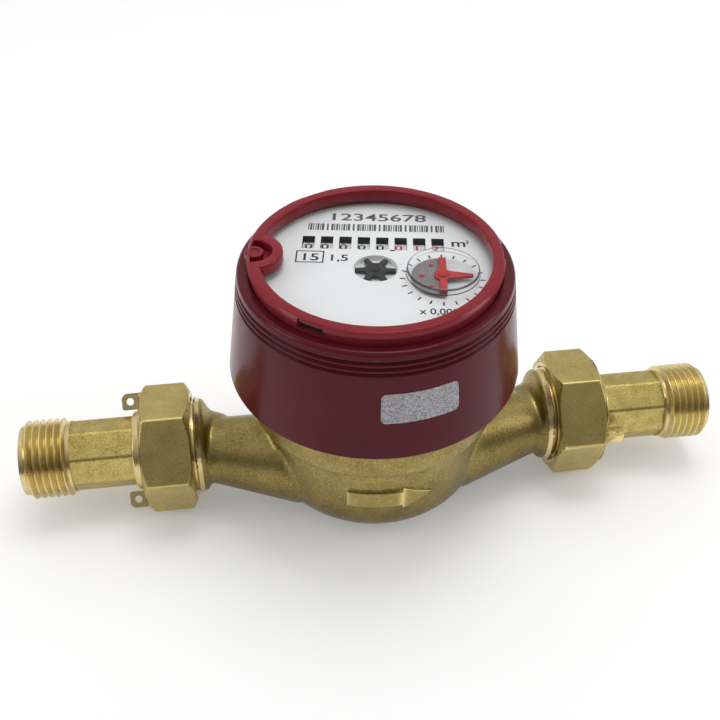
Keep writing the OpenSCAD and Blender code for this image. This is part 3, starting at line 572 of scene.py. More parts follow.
def foot_of(node: str) -> float:
    """Height of a CAD node's lowest point, in millimetres."""
    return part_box(node)[0].z / MM


def top_of(node: str) -> float:
    """Height of a CAD node's highest point, in millimetres."""
    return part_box(node)[1].z / MM


class Mesh:
    """A mesh in the making, in metres, with the bmesh steps that the pieces share."""

    NODE_WELD = 0.002
    WELD = 0.0005
    FLATNESS = 0.4

    def __init__(self) -> None:
        """Starts empty."""
        self.bm = bmesh.new()

    @classmethod
    def of_node(cls, node: str, joined: bool = True) -> "Mesh":
        """A copy of a CAD node's mesh, merged.

        Args:
            node: The node's name.
            joined: Whether its flat faces are joined.

        Returns:
            The mesh.
        """
        made = cls()
        made.bm.from_mesh(frame["nodes"][node].data)
        bmesh.ops.remove_doubles(made.bm, verts=made.bm.verts, dist=cls.NODE_WELD * MM)
        bmesh.ops.dissolve_degenerate(made.bm, dist=cls.NODE_WELD * MM, edges=made.bm.edges)
        if joined:
            flat = math.radians(cls.FLATNESS)
            bmesh.ops.dissolve_limit(made.bm, angle_limit=flat, verts=made.bm.verts, edges=made.bm.edges)
        return made

    @classmethod
    def of_text(cls, line: Line, thickness: float) -> "Mesh":
        """The characters of a printed line in the built-in typeface, lying flat.

        Args:
            line: The line.
            thickness: Thickness of the print, in millimetres.

        Returns:
            The mesh.
        """
        curve = bpy.data.curves.new("print", "FONT")
        curve.body = line.text
        curve.align_x = line.anchor.value
        curve.resolution_u = 4
        curve.extrude = thickness / 2
        curve.offset = Line.STROKE
        grow = line.size / Line.CAPITAL
        size = Matrix.Diagonal((grow * line.stretch * MM, grow * MM, MM, 1))
        return cls.shown(linked("print", curve)).move(moved(*line.at) @ size)

    @classmethod
    def shown(cls, spare: bpy.types.Object) -> "Mesh":
        """The mesh that a spare object shows, with its modifiers applied.

        Args:
            spare: An object of the scene. It is removed.

        Returns:
            The mesh.
        """
        graph = bpy.context.evaluated_depsgraph_get()
        grown = bpy.data.meshes.new_from_object(spare.evaluated_get(graph))
        made = cls()
        made.bm.from_mesh(grown)
        bpy.data.batch_remove((spare, spare.data, grown))
        return made

    def soften(
        self,
        width: float,
        angle: float = 25,
        segments: int = 3,
        keep: Optional[Callable[[Edge], bool]] = None,
    ) -> "Mesh":
        """Rounds the sharp edges.

        Args:
            width: Width of the rounding, in millimetres.
            angle: Edges that turn by more than this many degrees are rounded.
            segments: Faces across a rounding.
            keep: Says of an edge whether it is rounded.

        Returns:
            The mesh itself.
        """
        sharp = [
            e
            for e in self.bm.edges
            if len(e.link_faces) == 2
            and e.calc_face_angle(0) > math.radians(angle)
            and (keep is None or keep(e))
        ]
        bmesh.ops.bevel(
            self.bm,
            geom=sharp,
            offset=width * MM,
            offset_type="OFFSET",
            segments=segments,
            profile=0.5,
            affect="EDGES",
            clamp_overlap=False,
            material=-1,
        )
        return self

    def face(self, points: Iterable[Sequence[float]]) -> bmesh.types.BMFace:
        """A face through points in millimetres."""
        return self.bm.faces.new([self.bm.verts.new([c * MM for c in p]) for p in points])

    def loop(self, points: Iterable[Sequence[float]]) -> list:
        """A closed loop through points in millimetres: its points, then its edges."""
        verts = [self.bm.verts.new([c * MM for c in p]) for p in points]
        return verts + [self.bm.edges.new(pair) for pair in zip(verts, verts[1:] + verts[:1])]

    def spin(self, geom: list, angle: float, steps: int, rise: float = 0.0, closed: bool = False) -> list:
        """Spins geometry about Z.

        Args:
            geom: What is spun.
            angle: How far it goes, in radians.
            steps: Number of faces along it.
            rise: Height gained in a step, in millimetres.
            closed: Whether it ends where it starts.

        Returns:
            The geometry at the far end.
        """
        swept = bmesh.ops.spin(
            self.bm,
            geom=geom,
            cent=(0, 0, 0),
            axis=(0, 0, 1),
            dvec=(0, 0, rise * MM),
            angle=angle,
            steps=steps,
            use_merge=closed,
        )
        return swept["geom_last"]

    def lathe(self, outline: Sequence[Point], steps: int = 96) -> "Mesh":
        """Spins a closed outline about Z.

        Args:
            outline: Points (radius, height) in millimetres, in order.
            steps: Number of faces round.

        Returns:
            The mesh itself.
        """
        self.spin(self.loop((r, 0, z) for r, z in outline), math.tau, steps, closed=True)
        return self.tidy()

    def helix(self, outline: Sequence[Point], pitch: float, turns: float, steps: int = 64) -> "Mesh":
        """Sweeps a closed outline along a right-hand screw about Z.

        Args:
            outline: Points (radius, height) in millimetres.
            pitch: Height gained in a turn.
            turns: Number of turns.
            steps: Number of faces in a turn.

        Returns:
            The mesh itself.
        """
        first = self.face((r, 0, z) for r, z in outline)
        last = self.spin(first.edges[:], math.tau * turns, round(turns * steps), pitch / steps)
        bmesh.ops.contextual_create(self.bm, geom=[e for e in last if isinstance(e, Edge)])
        return self.tidy()

    def arc(self, outline: Sequence[Point], first: float, sweep: float, steps: int = 48) -> "Mesh":
        """Sweeps a closed outline part of the way round Z.

        Args:
            outline: Points (radius, height) in millimetres, in order.
            first: Direction at which it starts, in degrees.
            sweep: How far it goes, in degrees.
            steps: Number of faces along it.

        Returns:
            The mesh itself.
        """
        face = self.face((r, 0, z) for r, z in outline)
        bmesh.ops.transform(self.bm, matrix=turned(first), verts=face.verts)
        self.spin([face], math.radians(sweep), steps)
        return self.tidy()

    def slab(self, outline: Sequence[Point], low: float, high: float) -> "Mesh":
        """A flat plate between two heights.

        Args:
            outline: Points (x, y) in millimetres, counterclockwise.
            low: Height of its underside.
            high: Height of its top.

        Returns:
            The mesh itself.
        """
        return self.thicken([self.face((x, y, low) for x, y in outline)], high - low)

    def band(self, outer: Sequence[Point], inner: Sequence[Point], low: float, high: float) -> "Mesh":
        """A closed flat band between two loops with as many points each.

        Args:
            outer: Points (x, y) of the outer loop, in millimetres.
            inner: Points of the inner loop, each opposite to one of the outer.
            low: Height of its underside.
            high: Height of its top.

        Returns:
            The mesh itself.
        """
        both = [part for loop in (outer, inner) for part in self.loop((x, y, low) for x, y in loop)]
        flat = bmesh.ops.bridge_loops(self.bm, edges=[e for e in both if isinstance(e, Edge)])
        return self.thicken(flat["faces"], high - low)

    def thicken(self, faces: Sequence[bmesh.types.BMFace], height: float) -> "Mesh":
        """Raises flat faces by a height in millimetres, with walls round them."""
        grown = bmesh.ops.extrude_face_region(self.bm, geom=faces)
        tops = [v for v in grown["geom"] if isinstance(v, bmesh.types.BMVert)]
        bmesh.ops.translate(self.bm, verts=tops, vec=(0, 0, height * MM))
        return self.tidy()

    def cut(self, normal: Sequence[float], at: float) -> "Mesh":
        """Cuts the faces along a plane and keeps both sides.

        Args:
            normal: The plane's normal.
            at: How far along the normal it lies, in millimetres.

        Returns:
            The mesh itself.
        """
        everything = self.bm.verts[:] + self.bm.edges[:] + self.bm.faces[:]
        place = [n * at * MM for n in normal]
        bmesh.ops.bisect_plane(self.bm, geom=everything, plane_co=place, plane_no=normal)
        return self

    def tidy(self) -> "Mesh":
        """Merges doubles and turns the faces outwards."""
        bmesh.ops.remove_doubles(self.bm, verts=self.bm.verts, dist=self.WELD * MM)
        bmesh.ops.recalc_face_normals(self.bm, faces=self.bm.faces)
        return self

    def move(self, matrix: Matrix) -> "Mesh":
        """Moves the whole mesh."""
        bmesh.ops.transform(self.bm, matrix=matrix, verts=self.bm.verts)
        return self

    def shape(self, rule: Callable[[Vector], Vector]) -> "Mesh":
        """Moves each point to where a rule puts it, both in millimetres."""
        for v in self.bm.verts:
            v.co = rule(v.co / MM) * MM
        return self

    def join(self, other: "Mesh") -> "Mesh":
        """Takes in another mesh, which is used up."""
        spare = bpy.data.meshes.new("spare")
        other.bm.to_mesh(spare)
        other.bm.free()
        self.bm.from_mesh(spare)
        bpy.data.meshes.remove(spare)
        return self

    def paint(self, index: int, where: Callable[[Vector], bool]) -> "Mesh":
        """Gives faces another of the piece's finishes.

        Args:
            index: Which finish.
            where: Says of a face's centre, in millimetres, whether it gets it.

        Returns:
            The mesh itself.
        """
        for face in self.bm.faces:
            if where(face.calc_center_median() / MM):
                face.material_index = index
        return self

    def as_object(self, name: str) -> bpy.types.Object:
        """Puts the mesh in the scene as an object, and is used up."""
        data = bpy.data.meshes.new(name)
        self.bm.to_mesh(data)
        self.bm.free()
        return linked(name, data)

    def finish(
        self,
        name: str,
        body: str,
        finishes: Sequence[Finish],
        replaces: Sequence[str] = (),
        smooth: float = 35,
        flat: bool = False,
    ) -> None:
        """Makes the mesh a piece of the object.

        Args:
            name: The piece's name.
            body: The CAD body it rides on.
            finishes: Its finishes, the main one first.
            replaces: CAD nodes that it stands for.
            smooth: Edges that turn by less than this many degrees look smooth.
            flat: Whether large faces keep their own direction in the shading.
        """
        piece = self.as_object(name)
        piece.data.shade_smooth()
        piece.data.set_sharp_from_angle(angle=math.radians(smooth))
        if flat:
            even = piece.modifiers.new("even_normals", "WEIGHTED_NORMAL")
            even.keep_sharp = True
            even.weight = 90
        for one in finishes:
            piece.data.materials.append(Finishes.material(one))
        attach(piece, body)
        if replaces:
            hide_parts(*replaces)
        LOG.info("%s: %d faces on %s", name, len(piece.data.polygons), body)


def on_pipe(side: Side) -> Matrix:
    """The transform, in metres, that puts a mesh turned about Z on the pipe, its +Z pointing outwards."""
    lie = Matrix.Rotation(math.radians(90), 4, "Y")
    return moved(0, 0, Layout.PIPE_HEIGHT) @ turned(0 if side is Side.OUTLET else 180) @ lie


def off_axis(point: Vector) -> float:
    """Distance of a point from the pipe's axis, in millimetres."""
    return math.hypot(point.y, point.z - Layout.PIPE_HEIGHT)


def turned_down(point: Vector, radius: float) -> Vector:
    """A point drawn in to a radius about the pipe's axis, where it lies further out."""
    share = radius / max(off_axis(point), radius)
    return Vector((point.x, point.y * share, Layout.PIPE_HEIGHT + (point.z - Layout.PIPE_HEIGHT) * share))


def drawn_in(point: Vector, radius: float) -> Vector:
    """A point drawn in to a radius about Z, where it lies further out."""
    share = radius / max(math.hypot(point.x, point.y), radius)
    return Vector((point.x * share, point.y * share, point.z))


def above(level: float) -> Callable[[Edge], bool]:
    """A test of whether an edge lies wholly above a height in millimetres."""
    return lambda edge: min(v.co.z for v in edge.verts) > level * MM


@dataclass
class Thread:
    """A right-hand external pipe thread about the pipe's axis, in millimetres and shares of its pitch."""

    radius: float
    start: float
    end: float
    chamfer: float = 1.2
    pitch: float = 1.814
    depth: float = 1.16
    foot_share: float = 0.49
    crest_share: float = 0.09
    run_in_share: float = 0.35
    sunk: float = 0.15
    hidden: float = 0.1

    @property
    def root(self) -> float:
        """Radius at the foot of the thread."""
        return self.radius - self.depth

    def ridge(self, side: Side) -> Mesh:
        """The thread's ridge at one end of the pipe, run in at its start and cut by the chamfer."""
        foot, crest = self.pitch * self.foot_share, self.pitch * self.crest_share
        low, middle = self.root - self.sunk, self.start + foot
        flank = [(self.root, -foot), (self.radius, -crest), (self.radius, crest), (self.root, foot)]
        outline = [(r, middle + z) for r, z in [(low, -foot), *flank, (low, foot)]]
        turns = (self.end - self.start - 2 * foot) / self.pitch
        return Mesh().helix(outline, self.pitch, turns).shape(self.trimmed).move(on_pipe(side))

    def trimmed(self, point: Vector) -> Vector:
        """Keeps a point of the ridge inside the chamfer and the run-in at the thread's start."""
        cone = self.radius - max(0.0, point.z - (self.end - self.chamfer))
        rise = min(1.0, max(0.0, (point.z - self.start) / (self.pitch * self.run_in_share)))
        return drawn_in(point, min(cone, self.root - self.hidden + (self.depth + self.hidden) * rise))


@dataclass
class UnionCoupling:
    """A tailpiece with its pipe thread and the union nut that holds it."""

    side: Side
    pipe_radius: float = 10.4775
    thread_length: float = 11.5
    run_out: float = 1.2
    collar_length: float = 9.6
    bore_reach: float = 7.2
    nut_edge: float = 0.45
    nut_bore: float = 13.6
    nut_reach: float = 5.2
    name: str = field(init=False)
    flange: float = field(init=False)
    thread: Thread = field(init=False)

    def __post_init__(self) -> None:
        """Reads the tail's place from the frame."""
        self.name = self.side.name.lower()
        self.flange, tip = sorted(abs(corner.x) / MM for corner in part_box(f"{self.name}_tailpiece"))
        self.thread = Thread(self.pipe_radius, tip - self.thread_length - self.run_out, tip)

    def build(self) -> None:
        """Makes both pieces."""
        self.tail()
        self.nut()

    def tail(self) -> None:
        """The tail: polished collar, rough cast middle and a cut thread."""
        node, start, collar = f"{self.name}_tailpiece", self.thread.start, self.flange + self.collar_length
        threaded = start + self.thread.hidden
        made = Mesh.of_node(node)
        made.shape(lambda p: turned_down(p, self.thread.root) if abs(p.x) > threaded else p)
        made.join(self.thread.ridge(self.side))
        made.paint(1, lambda c: not collar <= abs(c.x) <= start or off_axis(c) < self.bore_reach)
        finishes = (Finishes.ROUGH, Finishes.TURNED)
        made.finish(f"{self.name}_threaded_tail", f"{self.name}_tail", finishes, [node], flat=True)

    def nut(self) -> None:
        """The blasted hexagon nut with rounded corners and sealing ears."""
        node = f"{self.name}_nut"
        made = Mesh.of_node(node).soften(self.nut_edge, 20, 3, self.on_hexagon)
        made.paint(1, lambda c: off_axis(c) < self.nut_bore)
        finishes = (Finishes.BLASTED, Finishes.TURNED)
        made.finish(f"{self.name}_union_nut", node, finishes, [node], flat=True)

    def on_hexagon(self, edge: Edge) -> bool:
        """Whether an edge lies on the nut's hexagon and not on its ears or bore."""
        middle = (edge.verts[0].co + edge.verts[1].co) / 2
        reach = max(abs(v.co.x) for v in edge.verts) / MM
        return off_axis(middle / MM) > self.nut_bore and reach < self.flange + self.nut_reach


@dataclass
class BrassBody:
    """The cast brass body: bowl, arms with turned shoulders, and threaded spigots."""

    voxel: float = 0.63
    rounds: int = 3
    spigot_radius: float = 13.2205
    spigot_chamfer: float = 0.8
    shoulder: float = 46.6
    thread_start: float = 48.0
    face: float = 55.0
    bowl_radius: float = 30.0
    elbow_at: Point = (40.2, 4.6)
    elbow_size: tuple[float, float, float] = (2.6, 2.5, 4.6)
    arrow_length: float = 21.0
    arrow_height: float = 7.2
    arrow_at: float = 18.2
    arrow_relief: float = 1.0
    arrow_edge: float = 0.3
    arrow_marks: tuple[float, float, float] = (-0.5, 0.15, 0.5)
    shaft_share: float = 0.7
    tip_share: float = 0.04

    def build(self) -> None:
        """Makes the casting with its threads, and the arrow on it."""
        thread = Thread(self.spigot_radius, self.thread_start, self.face, self.spigot_chamfer)
        made = self.cast()
        made.shape(lambda p: turned_down(p, thread.root) if abs(p.x) >= thread.start else p)
        for side in Side:
            made.cut((1, 0, 0), side.value * self.shoulder)
        for side in Side:
            made.join(thread.ridge(side))
        made.paint(1, lambda c: abs(c.x) > self.shoulder)
        made.finish("brass_casting", "root", (Finishes.BODY, Finishes.TURNED), ["meter_body"], 50)
        self.arrow().finish("flow_arrow", "root", (Finishes.CAST,), flat=True)

    def cast(self) -> Mesh:
        """The CAD body remeshed and smoothed, so that its corners are those of a casting."""
        start = Mesh.of_node("meter_body", joined=False)
        for side in Side:
            start.join(self.elbow_back(side))
        spare = start.as_object("body_start")
        remesh = spare.modifiers.new("cast", "REMESH")
        remesh.mode = "VOXEL"
        remesh.voxel_size = self.voxel * MM
        made = Mesh.shown(spare)
        for _ in range(self.rounds):
            bmesh.ops.smooth_vert(
                made.bm, verts=made.bm.verts, factor=0.5, use_axis_x=True, use_axis_y=True, use_axis_z=True
            )
        return made

    def elbow_back(self, side: Side) -> Mesh:
        """A thicker wall behind the bend of a waterway."""
        made = Mesh()
        bmesh.ops.create_icosphere(made.bm, subdivisions=3, radius=MM)
        x, y = self.elbow_at
        grow = Matrix.Diagonal((*self.elbow_size, 1))
        return made.move(moved(side.value * x, y, Layout.PIPE_HEIGHT) @ grow)

    def arrow(self) -> Mesh:
        """The raised flow arrow on the front of the bowl, with crisp cast edges."""
        shares = (x * self.arrow_length / self.bowl_radius for x in self.arrow_marks)
        tail, neck, tip = (Layout.FRONT + math.degrees(math.asin(x)) for x in shares)
        shaft = Mesh().arc(self.strip(self.shaft_share * self.arrow_height), tail, neck - tail, 16)
        head = Mesh().arc(self.strip(self.arrow_height), neck, tip - neck, 10)

        def taper(p: Vector) -> Vector:
            """Draws the head in to a point."""
            along = (math.degrees(math.atan2(p.y, p.x)) - neck) / (tip - neck)
            return Vector((p.x, p.y, self.arrow_at + (p.z - self.arrow_at) * max(self.tip_share, 1 - along)))

        def off_neck(edge: Edge) -> bool:
            """Whether an edge lies away from where shaft and head meet."""
            return max(abs(math.degrees(math.atan2(v.co.y, v.co.x)) - neck) for v in edge.verts) > 0.05

        parts = [part.soften(self.arrow_edge, 40, 3, off_neck) for part in (shaft, head.shape(taper))]
        return parts[0].join(parts[1])

    def strip(self, tall: float) -> list[Point]:
        """The outline of a raised strip on the bowl, as radius and height."""
        depth = 1 + self.arrow_relief
        return rectangle((self.bowl_radius - 1 + depth / 2, self.arrow_at), (depth, tall))


@dataclass
class Rim:
    """The bezel's plan: a ring with a bulge that a round bite is taken from, in millimetres."""

    outer: float = 30.43
    width: float = 2.6
    bite: float = 4.4
    place: float = 29.13
    direction: float = 181.0
    lead: float = math.radians(1.2)
    lead_end: float = math.radians(20)
    steps: tuple[int, int, int, int] = (16, 6, 8, 160)

    @property
    def inner(self) -> float:
        """Radius of the opening."""
        return self.outer - self.width

    def loops(self, inset: float = 0.0) -> tuple[list[Point], list[Point]]:
        """The outer and the inner loop, with points opposite to each other.

        Args:
            inset: How far the inner loop is drawn towards the middle.

        Returns:
            Both loops.
        """
        half = self.half(inset)
        other = [((x, -y), (u, -v)) for (x, y), (u, v) in half[1:-1]]
        pairs = half + other[::-1]
        return [self.turned(p) for p, _ in pairs], [self.turned(q) for _, q in pairs]

    def half(self, inset: float) -> list[tuple[Point, Point]]:
        """Point pairs from the bite's middle round to the far side.

        Args:
            inset: How far the inner points are drawn towards the middle.

        Returns:
            An outer and an inner point for each step.
        """
        opening, bulge = self.inner - inset, self.bite + self.width + inset
        meet, near = self.crossing(opening, bulge)
        corner, last = self.crossing(self.outer, self.bite)
        lead, end, pairs = meet + self.lead, self.lead_end, []
        on_bite, to_corner, to_end, to_far = self.steps
        for i in range(on_bite + 1):
            a = near * i / on_bite
            pairs.append((self.off_bite(self.bite, a), self.off_bite(bulge, a)))
        for i in range(1, to_corner + 1):
            a, b = near + (last - near) * i / to_corner, meet + self.lead * i / to_corner
            pairs.append((self.off_bite(self.bite, a), self.on_ring(opening, b)))
        for i in range(1, to_end + 1):
            a, b = corner + (end - corner) * i / to_end, lead + (end - lead) * i / to_end
            pairs.append((self.on_ring(self.outer, a), self.on_ring(opening, b)))
        for i in range(1, to_far + 1):
            a = end + (math.pi - end) * i / to_far
            pairs.append((self.on_ring(self.outer, a), self.on_ring(opening, a)))
        return pairs

    def crossing(self, ring: float, round_bite: float) -> Point:
        """Where a circle about the register's axis meets one about the bite.

        Args:
            ring: Radius of the first circle.
            round_bite: Radius of the second.

        Returns:
            The meeting point's angle on each circle, in radians.
        """
        cosine = (self.place ** 2 + ring ** 2 - round_bite ** 2) / (2 * self.place * ring)
        angle = math.acos(cosine)
        return angle, math.atan2(ring * math.sin(angle), self.place - ring * math.cos(angle))

    def off_bite(self, radius: float, angle: float) -> Point:
        """A point about the bite's middle, its angle taken from the way inwards."""
        return self.place - radius * math.cos(angle), radius * math.sin(angle)

    @staticmethod
    def on_ring(radius: float, angle: float) -> Point:
        """A point about the register's axis."""
        return radius * math.cos(angle), radius * math.sin(angle)

    def turned(self, point: Point) -> Point:
        """A point turned so that the bite lies in its direction."""
        (x, y), a = point, math.radians(self.direction)
        return x * math.cos(a) - y * math.sin(a), x * math.sin(a) + y * math.cos(a)


@dataclass
class RedHead:
    """The turning head: lower cover, bezel, plug, label and clear cap, in millimetres."""

    cover_edge: float = 0.35
    bezel_edge: float = 0.4
    plug_edge: float = 0.25
    skirt: float = 1.05
    floor: float = 0.6
    floor_lap: float = 0.5
    floor_back: float = 0.2
    lap: float = 0.02
    lug_rise: float = 0.4
    lug_tall: float = 1.9
    lug_down: float = 0.1
    lug_root: float = 0.5
    lug_gap: float = 12.0
    lug_from: float = 243.0
    lugs: int = 3
    slot_height: float = 1.9
    slot_depth: float = 1.0
    slot_half: float = 6.0
    cap_gap: float = 0.6
    cap_play: float = 0.1
    lens_radius: float = 8.7
    lens_edge: tuple[Point, ...] = ((0, 0.4), (0.12, 0.15), (0.4, 0.02), (0.7, 0))
    lens_fillet: Point = (0.15, 0.22)
    lens_ring: Point = (0.42, 0.32)
    upstand_width: float = 0.9
    upstand_height: float = 0.55
    upstand_edge: float = 0.18
    label_size: Point = (18.7, 8.0)
    label_corner: float = 1.3
    label_dir: float = -81.0
    label_gap: float = 0.03
    label_thickness: float = 0.1
    label_strips: int = 20
    cone_ends: tuple[Point, Point] = ((37.2, 40.0), (33.53, 67.5))
    rim: Rim = field(default_factory=Rim)

    def __post_init__(self) -> None:
        """Reads the heights from the frame."""
        self.low, self.top = foot_of("bezel_ring"), top_of("bezel_ring")
        self.seat = foot_of("seal_plug") - self.floor
        self.place = turned(Layout.DIAL_TURN)

    def build(self) -> None:
        """Makes the mouldings with rounded edges, and the label."""
        cover = Mesh.of_node("lower_cover").soften(self.cover_edge, 28)
        cover.finish("red_cover", "head", (Finishes.COVER,), ["lower_cover"], flat=True)
        bezel = self.bezel().move(self.place)
        # The bezel's second finish is the black of the painted shade in its slots.
        bezel.finish("red_bezel", "head", (Finishes.BEZEL, Finishes.BLACK), ["bezel_ring"])
        plug = Mesh.of_node("seal_plug").soften(self.plug_edge, 35)
        plug.finish("red_plug", "head", (Finishes.BEZEL,), ["seal_plug"])
        self.label().finish("foil_label", "head", (Finishes.FOIL,), ["security_label"])
        cap = self.cap().move(self.place)
        cap.finish("clear_window", "head", (Finishes.CLEAR, Finishes.RIM), ["register_cap"])

    def bezel(self) -> Mesh:
        """The bezel: a rounded top band with slots under it painted black as shade, a skirt, the bite's floor
        and lugs.
        """
        outside, inside = self.rim.loops()
        ledge = self.seat + self.slot_height
        made = Mesh().band(outside, inside, ledge, self.top)
        slotted = Mesh().band([self.slotted(p) for p in outside], inside, self.seat, ledge)
        # Painted shade: the slot faces get the black finish.
        made.join(slotted.paint(1, self.in_slot))
        made.soften(self.bezel_edge, 40, 4, above(self.top - 0.001))
        outer, bore, lip = self.rim.outer, self.rim.outer - self.skirt, self.seat + self.lap / 2
        made.join(Mesh().lathe([(bore, self.low), (outer, self.low), (outer, lip), (bore, lip)], 128))
        return made.join(self.bite_floor()).join(self.lug_ring())

    def bite_floor(self) -> Mesh:
        """The floor under the seal's plug, cut off inside the bezel's outside."""
        made = Mesh()
        radius = (self.rim.bite + self.floor_lap) * MM
        bmesh.ops.create_cone(
            made.bm, cap_ends=True, segments=64, radius1=radius, radius2=radius, depth=self.floor * MM
        )
        made.move(moved(*self.rim.turned((self.rim.place, 0)), self.seat + self.floor / 2))
        return made.shape(lambda p: drawn_in(p, self.rim.outer - self.floor_back))

    def lug_ring(self) -> Mesh:
        """The raised arcs round the bezel's top, with sloping edges."""
        made = Mesh()
        step, inside, outer = 360 / self.lugs, self.rim.outer - self.lug_root, self.rim.outer
        proud, high = outer + self.lug_rise, self.top - self.lug_down
        low = high - self.lug_tall
        outline = [(inside, low), (outer, low), (proud, low + self.lug_root), (proud, high - self.lug_rise)]
        outline += [(outer, high), (inside, high)]
        for i in range(self.lugs):
            made.join(Mesh().arc(outline, self.lug_from + self.lug_gap / 2 + i * step, step - self.lug_gap))
        return made

    def faces_slot(self, point: Point) -> bool:
        """Whether a point lies in the direction of a slot under a gap between the lugs."""
        step = 360 / self.lugs
        off = (math.degrees(math.atan2(point[1], point[0])) - self.lug_from + step / 2) % step - step / 2
        return abs(off) <= self.slot_half

    def in_slot(self, centre: Vector) -> bool:
        """Whether a face lies in a slot, painted black as shade, and not in the bezel's opening."""
        return self.faces_slot((centre.x, centre.y)) and math.hypot(centre.x, centre.y) > self.rim.inner + 0.2

    def slotted(self, point: Point) -> Point:
        """A point of the bezel's outside, sunk where it lies in a slot."""
        far = math.hypot(*point)
        if not self.faces_slot(point) or far < self.rim.outer - 0.01:
            return point
        share = (far - self.slot_depth) / far
        return point[0] * share, point[1] * share

    def label(self) -> Mesh:
        """The foil label: a plate with round corners, wrapped on the cover's cone."""
        wide = self.label_size[0] / 2
        made = Mesh().slab(rectangle((0, 0), self.label_size), 0, 1)
        made.soften(self.label_corner, 60, 5, lambda e: abs(e.verts[0].co.z - e.verts[1].co.z) > 0.5 * MM)
        for i in range(1, self.label_strips):
            made.cut((1, 0, 0), wide * (2 * i / self.label_strips - 1))
        middle = (foot_of("security_label") + top_of("security_label")) / 2

        def wrap(p: Vector) -> Vector:
            """Lays a flat point on the cone."""
            z = middle + p.y
            radius = self.cone(z) + self.label_gap + self.label_thickness * p.z
            angle = math.radians(self.label_dir) + p.x / self.cone(middle)
            return Vector((radius * math.cos(angle), radius * math.sin(angle), z))

        return made.shape(wrap).tidy()

    def cone(self, height: float) -> float:
        """Radius of the cover's outside at a height."""
        (r0, z0), (r1, z1) = self.cone_ends
        return r0 + (r1 - r0) * (height - z0) / (z1 - z0)

    def cap(self) -> Mesh:
        """The clear cap: a disc with an edge along the bezel and a raised lens over the pointer."""
        low, radius = top_of("dial_plate") + self.cap_gap, self.rim.outer - self.skirt - self.cap_play
        made = Mesh().lathe([(0, low), (radius, low), (radius, self.seat), (0, self.seat)])
        return made.join(self.upstand()).join(self.lens().move(moved(*Layout.POINTER)))

    def upstand(self) -> Mesh:
        """The low edge of the cap that follows the bezel's opening."""
        outer, inner = (self.rim.loops(inset)[1] for inset in (self.lap, self.upstand_width))
        top = self.seat + self.upstand_height
        made = Mesh().band(outer, inner, self.seat + self.lap, top)
        return made.soften(self.upstand_edge, 40, 2, above(top - 0.05))

    def lens(self) -> Mesh:
        """The round lens, with painted shade rings at its rounded edge and foot, standing in for refraction's
        dark lines.
        """
        base, top, wall = self.seat + self.lap, top_of("register_cap"), self.lens_radius
        spread, rise = self.lens_fillet
        edge = [(wall - inwards, top - down) for inwards, down in self.lens_edge]
        made = Mesh().lathe([(0, base), (wall + spread, base), (wall, base + rise), *edge, (0, top)])
        wide, deep = self.lens_ring

        def dense(c: Vector) -> bool:
            """Whether a face lies on one of the painted shade rings."""
            return math.hypot(c.x, c.y) > wall - wide and (c.z > top - deep or c.z < base + rise)

        # The rings get the dark finish: painted shade at the lens's edge and foot.
        return made.paint(1, dense)


